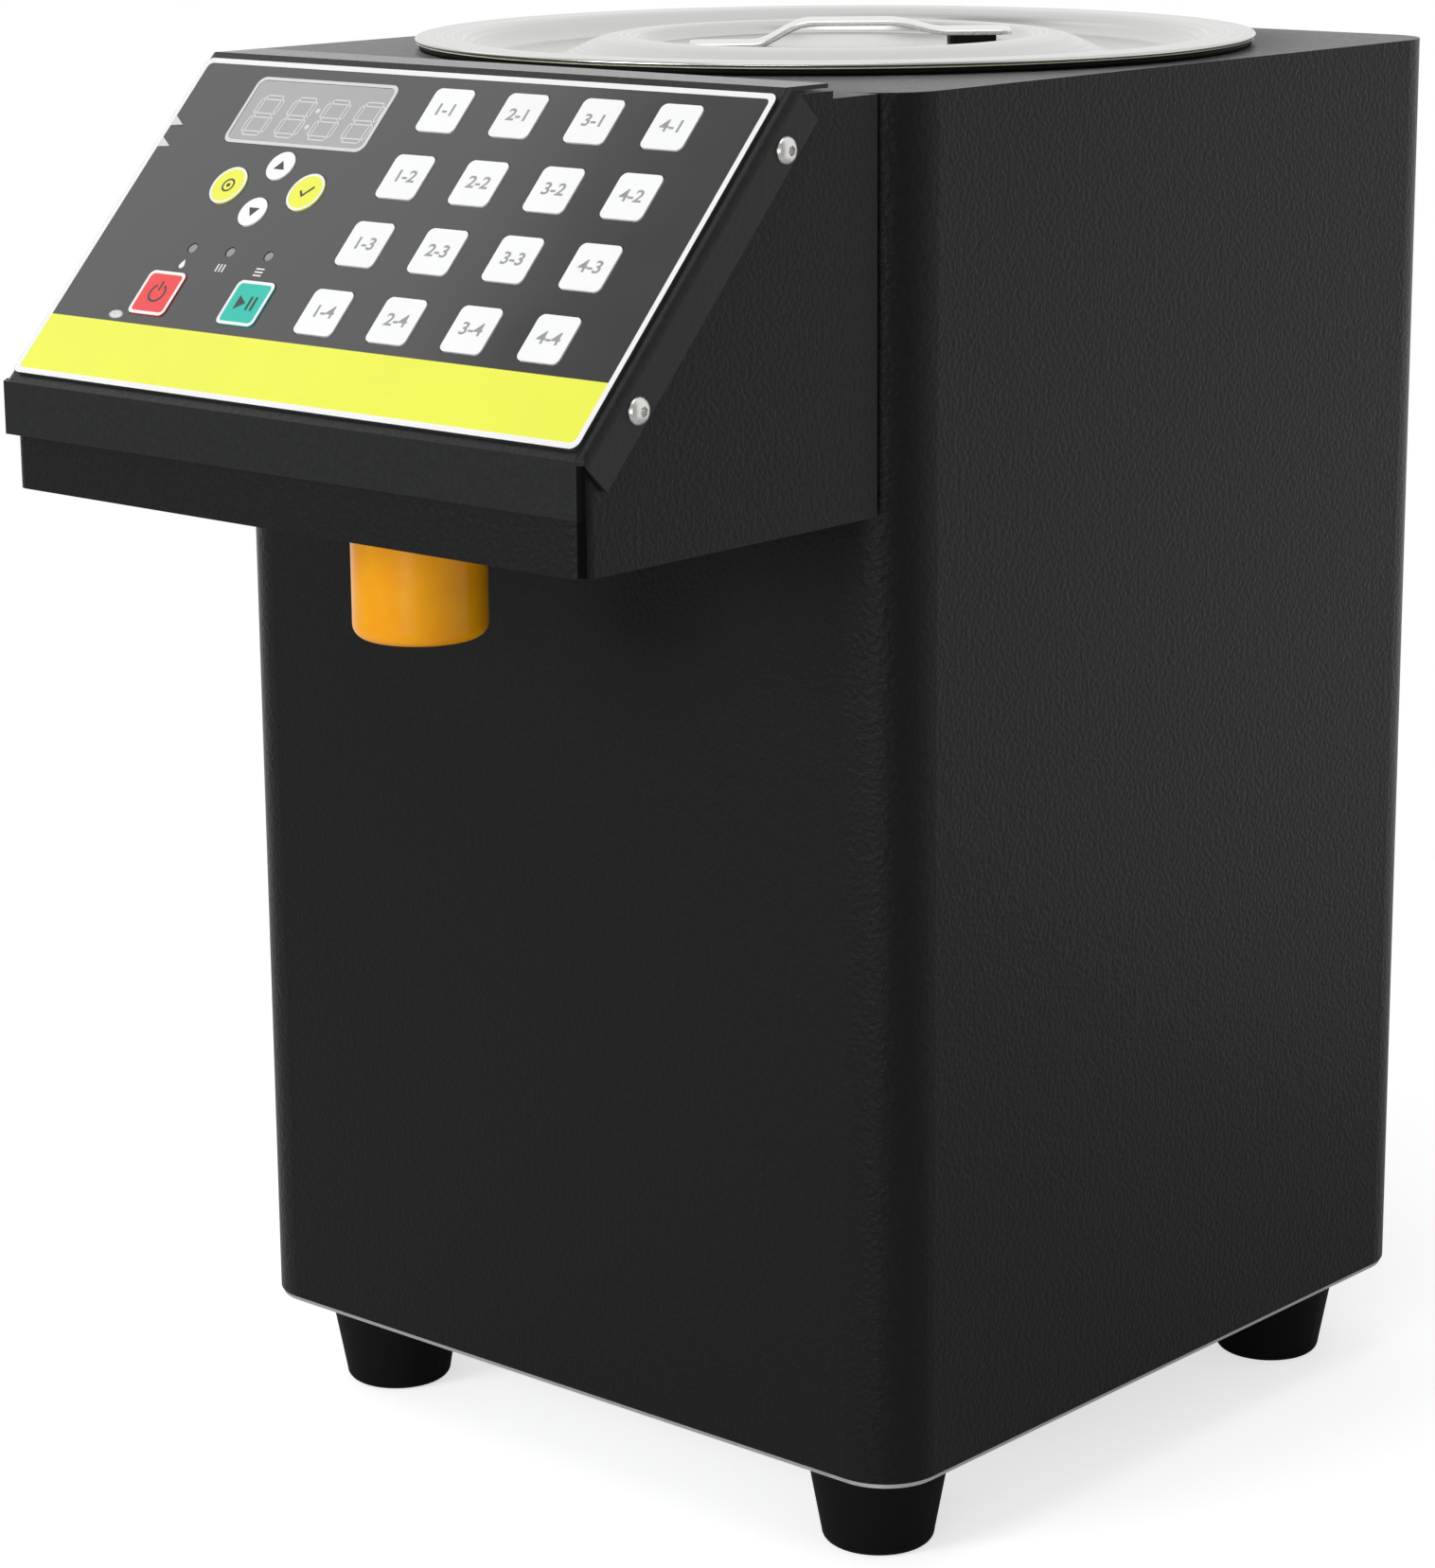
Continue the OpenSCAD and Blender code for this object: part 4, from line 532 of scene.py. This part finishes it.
def strap_height(s):
    """Height of the strap's underside above the well's floor: its left foot lies low, its right foot on a pad."""
    if s < RISE_START:
        return 0.0
    if s < RISE_END:
        return STRAP_RISE * (1 - math.cos(math.pi * (s - RISE_START) / (RISE_END - RISE_START))) / 2
    if s < FALL_START:
        return STRAP_RISE
    if s < FALL_END:
        t = (s - FALL_START) / (FALL_END - FALL_START)
        return FOOT_PAD_H + (STRAP_RISE - FOOT_PAD_H) * (1 + math.cos(math.pi * t)) / 2
    return FOOT_PAD_H


def strap_section(s):
    """The strap's width and thickness as (across, up) points, narrower where its corners round off."""
    from_end = min(s - STRAP_LEFT, STRAP_RIGHT - s)
    half = STRAP_W / 2
    if from_end < STRAP_CORNER:
        half -= STRAP_CORNER - math.sqrt(max(0.0, STRAP_CORNER ** 2 - (STRAP_CORNER - from_end) ** 2))
    edge = STRAP_EDGE
    return [(half, edge), (half - edge, 0), (-half + edge, 0), (-half, edge), (-half, STRAP_T - edge),
            (-half + edge, STRAP_T), (half - edge, STRAP_T), (half, STRAP_T - edge)]


def strap_matrix():
    """From the strap's own axes, on the well's floor, to the frame's."""
    place = Matrix.Translation(Vector((0, -MIDDLE_Y, LID_Z + WELL_Z)) * MM)
    return place @ Matrix.Rotation(math.radians(STRAP_TURN), 4, "Z")


def lid_strap():
    """The strap handle, a bent strip with rounded edges and corners, and the pad under its right foot."""
    vertices, faces = [], []
    step = 0.1
    for i in range(STRAP_STEPS + 1):
        s = STRAP_LEFT + (STRAP_RIGHT - STRAP_LEFT) * i / STRAP_STEPS
        slope = (strap_height(s + step) - strap_height(s - step)) / (2 * step)
        lean = Vector((-slope, 0, 1)).normalized()
        vertices += [tuple(Vector((s, y, strap_height(s))) + lean * h) for y, h in strap_section(s)]
    n = len(strap_section(0))
    last = STRAP_STEPS * n
    for a in range(0, last, n):
        faces += [(a + k, a + (k + 1) % n, a + n + (k + 1) % n, a + n + k) for k in range(n)]
    faces += [tuple(range(n - 1, -1, -1)), tuple(range(last, last + n))]
    strap = new_object("lid_strap", vertices, faces, M["strap"], "lid_assembly", strap_matrix())
    shade_by_angle(strap, 30)
    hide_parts("lid_handle")
    outline = round_outline((FALL_END + FOOT_PAD_END) / 2, 0, FOOT_PAD_END - FALL_END, FOOT_PAD_W,
                            FOOT_PAD_ROUND)
    points = [(x, y, z) for z in (FOOT_PAD_GAP, FOOT_PAD_H - FOOT_PAD_GAP) for x, y in outline]
    pad = new_object("strap_pad", points, prism_faces(len(outline)), M["rubber"], "lid_assembly",
                     strap_matrix())
    soften(pad, FOOT_PAD_SOFT)


# ---- the printed panel ----

def print_panel():
    """The border, the band along the lip, and three small pale raised marks at the overlay's left."""
    w, h = OVERLAY_RIGHT - OVERLAY_LEFT, OVERLAY_HIGH - OVERLAY_LOW
    cx, cy = (OVERLAY_LEFT + OVERLAY_RIGHT) / 2, (OVERLAY_LOW + OVERLAY_HIGH) / 2
    inset = BORDER_MARGIN + BORDER_LINE
    outer = round_outline(cx, cy, w - 2 * BORDER_MARGIN, h - 2 * BORDER_MARGIN, OVERLAY_CORNER)
    inner = round_outline(cx, cy, w - 2 * inset, h - 2 * inset, OVERLAY_CORNER - BORDER_LINE / 2)
    ring("print_border", outer, inner, PRINT_LOW, PRINT_HIGH, M["print"])
    left, right, low = OVERLAY_LEFT + inset, OVERLAY_RIGHT - inset, OVERLAY_LOW + inset
    slab("print_band", [(left, low), (right, low), (right, BAND_HIGH), (left, BAND_HIGH)], PRINT_LOW,
         PRINT_HIGH - 0.01, M["yellow"])
    for i, v in enumerate(MARK_ROWS):
        wedge = [(MARK_LEFT, v - 1.5), (MARK_TIP, v - 1.0), (MARK_LEFT, v + 1.9)]
        slab("film_weld_%d" % (i + 1), wedge, OVERLAY_T, OVERLAY_T + MARK_T, M["grey_print"])
    place = (slope_matrix() @ Matrix.Translation(Vector(DOME_PLACE) * MM)
             @ Matrix.Diagonal((1.0, DOME_SQUEEZE, 1.0, 1.0)))
    lathe("film_weld_3", DOME_PROFILE, M["grey_print"], "cabinet", (0, 0), 32, place)


def painted_corner_shade():
    """Painted shade: dark pieces down the right front corner of the tray and of the cover's lip, where that
    rounded corner lies in shadow and mirrors the dark room.
    """
    cx, cy = TRAY_RIGHT - TRAY_CORNER, TRAY_FRONT + TRAY_CORNER
    angles = [math.radians(a) for a in range(-62, -27, 5)]
    proud, deep = TRAY_CORNER + 0.12, TRAY_CORNER - 0.3
    line = [(cx + r * math.cos(a), cy + r * math.sin(a))
            for r, run in ((proud, angles), (deep, angles[::-1])) for a in run]
    vertices = [(x, y, z) for z in (TRAY_Z + 0.3, LIP_Z - LIP_H + 0.5) for x, y in line]
    new_object("painted_corner_shade", vertices, prism_faces(len(line)), M["seam"])
    # the block on the right end of the cover's lip is painted shade too
    left, right, front, back = COVER_RIGHT - 1.9, COVER_RIGHT - 0.24, LIP_Y - 0.04, LIP_Y + 1.4
    foot = ((left, front), (right, front), (right, back), (left, back))
    corners = [(x, y, z) for z in (LIP_Z - LIP_H, LIP_Z - 0.9) for x, y in foot]
    new_object("lip_seam", corners, prism_faces(len(foot)), M["seam"])


def print_display():
    """The window's outline, four unlit digits, and the colon between them."""
    outer = round_outline(WINDOW_X, WINDOW_Y, WINDOW_W, WINDOW_H, WINDOW_ROUND)
    inner = round_outline(WINDOW_X, WINDOW_Y, WINDOW_W - 2 * WINDOW_LINE, WINDOW_H - 2 * WINDOW_LINE,
                          WINDOW_ROUND_IN)
    ring("display_outline", outer, inner, PRINT_LOW, PRINT_HIGH, M["grey_print"])
    for i in range(4):
        seven_segments("digit_%d" % (i + 1), DIGITS_X + (i - 1.5) * DIGIT_PITCH)
    for i, dv in enumerate((-COLON_DV, COLON_DV)):
        dot = circle_outline(DIGITS_X + dv * DIGIT_SLANT, DIGITS_Y + dv, COLON_R, 24)
        slab("colon_%d" % (i + 1), dot, DIGIT_LOW, DIGIT_HIGH, M["segment_edge"])


def seven_segments(name, cx):
    """Seven unlit segments, each a pale outline round a grey bar."""
    half_w, half_h = DIGIT_W / 2, DIGIT_H / 2
    bars = [("h", 0, half_h), ("h", 0, 0), ("h", 0, -half_h), ("v", -half_w, half_h / 2),
            ("v", half_w, half_h / 2), ("v", -half_w, -half_h / 2), ("v", half_w, -half_h / 2)]
    for k, (way, dx, dy) in enumerate(bars):
        half = (half_w if way == "h" else half_h / 2) - SEGMENT_GAP
        outer, inner = [
            [(cx + dx + x + (dy + y) * DIGIT_SLANT, DIGITS_Y + dy + y) for x, y in line]
            for line in (segment_outline(way, half, SEGMENT_T / 2),
                         segment_outline(way, half - SEGMENT_TIP, SEGMENT_T / 2 - SEGMENT_LINE))]
        ring("%s_edge_%d" % (name, k), outer, inner, DIGIT_LOW, DIGIT_HIGH, M["segment_edge"])
        slab("%s_bar_%d" % (name, k), inner, DIGIT_LOW, DIGIT_HIGH - 0.02, M["segment"])


def segment_outline(way, half, thick):
    """A bar with pointed ends about its own middle, lying for way h and upright for way v."""
    points = [(-half, 0), (-half + thick, -thick), (half - thick, -thick), (half, 0), (half - thick, thick),
              (-half + thick, thick)]
    return points if way == "h" else [(-y, x) for x, y in points]


# ---- the keys ----

def square_key_place(column, row):
    """The middle of a white key; rows count from the top."""
    return KEY_X0 + (column - 1) * KEY_DX, KEY_Y0 + (4 - row) * KEY_DY


def key_print():
    """The keys' numbers, pale rims, arrows and signs, each riding on its own key."""
    for column in range(1, 5):
        for row in range(1, 5):
            u, v = square_key_place(column, row)
            label("legend_%d_%d" % (column, row), "%d-%d" % (column, row), (u, v, LEGEND_LOW), M["ink"],
                  "key_%d_%d_cap" % (column, row))
    for name, sign in (("power", -1), ("run", 1)):
        u, v = DUO_X + sign * DUO_DX / 2, KEY_Y0
        outer = round_outline(u, v, KEY_W, KEY_L, KEY_ROUND)
        inner = round_outline(u, v, KEY_W - 2 * KEY_RIM, KEY_L - 2 * KEY_RIM, KEY_ROUND - 0.7)
        ring("key_%s_rim" % name, outer, inner, KEY_TOP, KEY_PRINT_HIGH, M["print"], "key_%s_cap" % name)
    for name, sign in (("set", -1), ("save", 1)):
        u, v = PAD_X + sign * PAD_DX, PAD_Y
        ring("key_%s_rim" % name, circle_outline(u, v, PAD_SIDE_R), circle_outline(u, v, PAD_SIDE_R - PAD_RIM),
             KEY_TOP, KEY_PRINT_HIGH, M["print"], "key_%s_cap" % name)
    for name, sign in (("up", 1), ("down", -1)):
        u, v = PAD_X, PAD_Y + sign * PAD_DY
        arrow = [(u - 2.1, v - sign * 1.3), (u + 2.1, v - sign * 1.3), (u, v + sign * 1.7)]
        sign_on("arrow_" + name, arrow[::sign], name)
    key_signs()


def sign_on(name, outline, key):
    """A dark printed sign on a key's top."""
    slab(name, outline, KEY_TOP, KEY_PRINT_HIGH, M["dark_ink"], "key_%s_cap" % key)


def arc(cx, cy, r_out, r_in, start, end, steps=24):
    """A thick arc's closed outline."""
    angles = [math.radians(start + (end - start) * i / steps) for i in range(steps + 1)]
    outer = [(cx + r_out * math.cos(a), cy + r_out * math.sin(a)) for a in angles]
    return outer + [(cx + r_in * math.cos(a), cy + r_in * math.sin(a)) for a in reversed(angles)]


def bar(cx, cy, w, h):
    return [(cx - w / 2, cy - h / 2), (cx + w / 2, cy - h / 2), (cx + w / 2, cy + h / 2), (cx - w / 2, cy + h / 2)]


def key_signs():
    """Plain signs in place of words: on/off, run/pause, a ring with a dot, and a tick."""
    u, v = DUO_X - DUO_DX / 2, KEY_Y0
    sign_on("sign_power_ring", arc(u, v, 3.2, 2.5, 120, 420), "power")
    sign_on("sign_power_bar", bar(u, v + 2.4, 0.7, 3.2), "power")
    u = DUO_X + DUO_DX / 2
    sign_on("sign_run_arrow", [(u - 3.6, v - 2.4), (u - 0.1, v), (u - 3.6, v + 2.4)], "run")
    sign_on("sign_run_bar_1", bar(u + 1.3, v, 0.9, 4.6), "run")
    sign_on("sign_run_bar_2", bar(u + 3.2, v, 0.9, 4.6), "run")
    u, v = PAD_X - PAD_DX, PAD_Y
    ring("sign_set_ring", circle_outline(u, v, 2.3), circle_outline(u, v, 1.7), KEY_TOP, KEY_PRINT_HIGH,
         M["dark_ink"], "key_set_cap")
    sign_on("sign_set_dot", circle_outline(u, v, 0.7, 20), "set")
    u = PAD_X + PAD_DX
    tick = [(u - 2.4, v + 0.1), (u - 0.7, v - 1.9), (u + 2.6, v + 1.7), (u + 2.0, v + 2.2), (u - 0.7, v - 0.8),
            (u - 1.9, v + 0.6)]
    sign_on("sign_save_tick", tick, "save")


def lamp_signs():
    """Small generic signs under the three lamps: a drop, heat, and a level."""
    v = LAMP_Y - SIGN_DROP_DOWN
    u = DUO_X - LAMP_DX
    drop = [(u + math.cos(math.radians(a)), v - 0.5 + math.sin(math.radians(a))) for a in range(-210, 31, 20)]
    slab("sign_drop", drop + [(u, v + 1.6)], PRINT_LOW, PRINT_HIGH, M["print"])
    for i in range(3):
        heat, level = bar(DUO_X + (i - 1) * 1.3, v, 0.5, 2.6), bar(DUO_X + LAMP_DX, v + (i - 1) * 1.1, 3.2, 0.45)
        slab("sign_heat_%d" % i, heat, PRINT_LOW, PRINT_HIGH, M["print"])
        slab("sign_level_%d" % i, level, PRINT_LOW, PRINT_HIGH, M["print"])


# ---- stage ----

def stage():
    """A white floor that keeps the object's shadow and passes into the white surround further out."""
    mesh = bpy.data.meshes.new("floor")
    corners = [(x * FLOOR_HALF, y * FLOOR_HALF, 0) for x, y in ((-1, -1), (1, -1), (1, 1), (-1, 1))]
    mesh.from_pydata(corners, [], [(0, 1, 2, 3)])
    ground = linked("floor", mesh)
    material = shader("floor_white", (0.82, 0.82, 0.82), 0.9, Specular_IOR_Level=0.0)
    tree = material.node_tree
    grain = noise_of(material, 300, 3.0)
    bump_from(material, grain.outputs["Fac"], 0.05, 0.0005)
    path = add(material, "ShaderNodeLightPath")
    amount = add(material, "ShaderNodeMath", operation="MULTIPLY")
    amount.inputs[1].default_value = FLOOR_LIFT
    glow = add(material, "ShaderNodeEmission")
    both = add(material, "ShaderNodeAddShader")
    place = add(material, "ShaderNodeTexCoord")
    far = add(material, "ShaderNodeVectorMath", operation="LENGTH")
    fade = add(material, "ShaderNodeMapRange", interpolation_type="SMOOTHSTEP")
    fade.inputs["From Min"].default_value = FLOOR_NEAR
    fade.inputs["From Max"].default_value = FLOOR_FAR
    clear = add(material, "ShaderNodeBsdfTransparent")
    mixed = add(material, "ShaderNodeMixShader")
    join(tree, (path.outputs["Is Camera Ray"], amount.inputs[0]),
         (amount.outputs[0], glow.inputs["Strength"]),
         (tree.nodes["Principled BSDF"].outputs[0], both.inputs[0]),
         (glow.outputs[0], both.inputs[1]),
         (place.outputs["Object"], far.inputs[0]),
         (far.outputs["Value"], fade.inputs["Value"]),
         (fade.outputs["Result"], mixed.inputs["Fac"]),
         (both.outputs[0], mixed.inputs[1]),
         (clear.outputs[0], mixed.inputs[2]),
         (mixed.outputs[0], tree.nodes["Material Output"].inputs["Surface"]))
    mesh.materials.append(material)


def world():
    """White to the camera; reflections see white behind the object and a dimmer room in front of it."""
    scene = bpy.context.scene
    scene.world = bpy.data.worlds.new("studio")
    scene.world.use_nodes = True
    tree = scene.world.node_tree
    tree.nodes.clear()
    new = tree.nodes.new
    path, place = new("ShaderNodeLightPath"), new("ShaderNodeTexCoord")
    split, side = new("ShaderNodeSeparateXYZ"), new("ShaderNodeMapRange")
    side.interpolation_type = "SMOOTHSTEP"
    for socket, value in (("From Min", -ROOM_TURN), ("From Max", ROOM_TURN),
                          ("To Min", ROOM_FRONT), ("To Max", ROOM_BACK)):
        side.inputs[socket].default_value = value
    diffuse, glossy, seen = [new("ShaderNodeBackground") for _ in range(3)]
    for background in (diffuse, glossy, seen):
        background.inputs["Color"].default_value = (1, 1, 1, 1)
    diffuse.inputs["Strength"].default_value = ROOM_DIFFUSE
    either = new("ShaderNodeMath")
    either.operation = "MAXIMUM"
    first, second, output = new("ShaderNodeMixShader"), new("ShaderNodeMixShader"), new("ShaderNodeOutputWorld")
    join(tree, (place.outputs["Generated"], split.inputs[0]),
         (split.outputs["Y"], side.inputs["Value"]),
         (side.outputs["Result"], glossy.inputs["Strength"]),
         (path.outputs["Is Camera Ray"], either.inputs[0]),
         (path.outputs["Is Transmission Ray"], either.inputs[1]),
         (path.outputs["Is Glossy Ray"], first.inputs["Fac"]),
         (diffuse.outputs[0], first.inputs[1]),
         (glossy.outputs[0], first.inputs[2]),
         (either.outputs[0], second.inputs["Fac"]),
         (first.outputs[0], second.inputs[1]),
         (seen.outputs[0], second.inputs[2]),
         (second.outputs[0], output.inputs["Surface"]))


def area_light(name, place, size, radiance, target=None, axes=None):
    """A softbox of a given radiance, aimed at a target or turned to given X and Y axes."""
    data = bpy.data.lights.new(name, "AREA")
    data.shape = "RECTANGLE"
    data.size, data.size_y = size
    data.energy = radiance * math.pi * size[0] * size[1]
    lamp = linked(name, data)
    if axes:
        y = Vector(axes[1]).normalized()
        z = Vector(axes[0]).cross(y).normalized()
        turn = Matrix((y.cross(z), y, z)).transposed()
        lamp.matrix_world = Matrix.Translation(place) @ turn.to_4x4()
    else:
        lamp.location = place
        lamp.rotation_euler = (Vector(target) - Vector(place)).to_track_quat("-Z", "Y").to_euler()


def lights():
    """The left softbox is laid so that the panel mirrors it as far as the gap before the last column of keys."""
    area_light("left_softbox", (-1.443, -0.177, 1.409), (0.9, 1.0), 1.0,
               axes=((0.622, -0.5625, 0.538), (0.30, 0.81, 0.50)))
    for name, place, size, radiance in SOFTBOXES:
        area_light(name, place, size, radiance, LIGHT_TARGET)


def camera():
    """The fitted camera; its azimuth turns from the front to the right."""
    azimuth, elevation = math.radians(CAMERA_AZIMUTH), math.radians(CAMERA_ELEVATION)
    roll = math.radians(CAMERA_ROLL)
    back = Vector((math.sin(azimuth) * math.cos(elevation), -math.cos(azimuth) * math.cos(elevation),
                   math.sin(elevation)))
    right = Vector((math.cos(azimuth), math.sin(azimuth), 0))
    up = back.cross(right)
    turned_right = right * math.cos(roll) + up * math.sin(roll)
    turned_up = up * math.cos(roll) - right * math.sin(roll)
    data = bpy.data.cameras.new("photo_camera")
    data.sensor_width = SENSOR
    data.lens = FOCAL_PIXELS / PHOTO_HEIGHT * SENSOR
    data.clip_start = 0.05
    data.clip_end = 50
    view = linked("photo_camera", data)
    turn = Matrix((turned_right, turned_up, back)).transposed().to_4x4()
    view.matrix_world = Matrix.Translation(Vector(CAMERA_PLACE) * MM) @ turn
    bpy.context.scene.camera = view


def main():
    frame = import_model()
    bpy.context.scene.view_settings.view_transform = "Standard"
    paint_nodes(frame["nodes"])
    soften(frame["nodes"]["screws"], SCREW_SOFT, SCREW_ANGLE)
    camera()
    stage()
    world()
    lights()
    lid_dish()
    lid_strap()
    print_panel()
    print_display()
    painted_corner_shade()
    key_print()
    lamp_signs()


main()
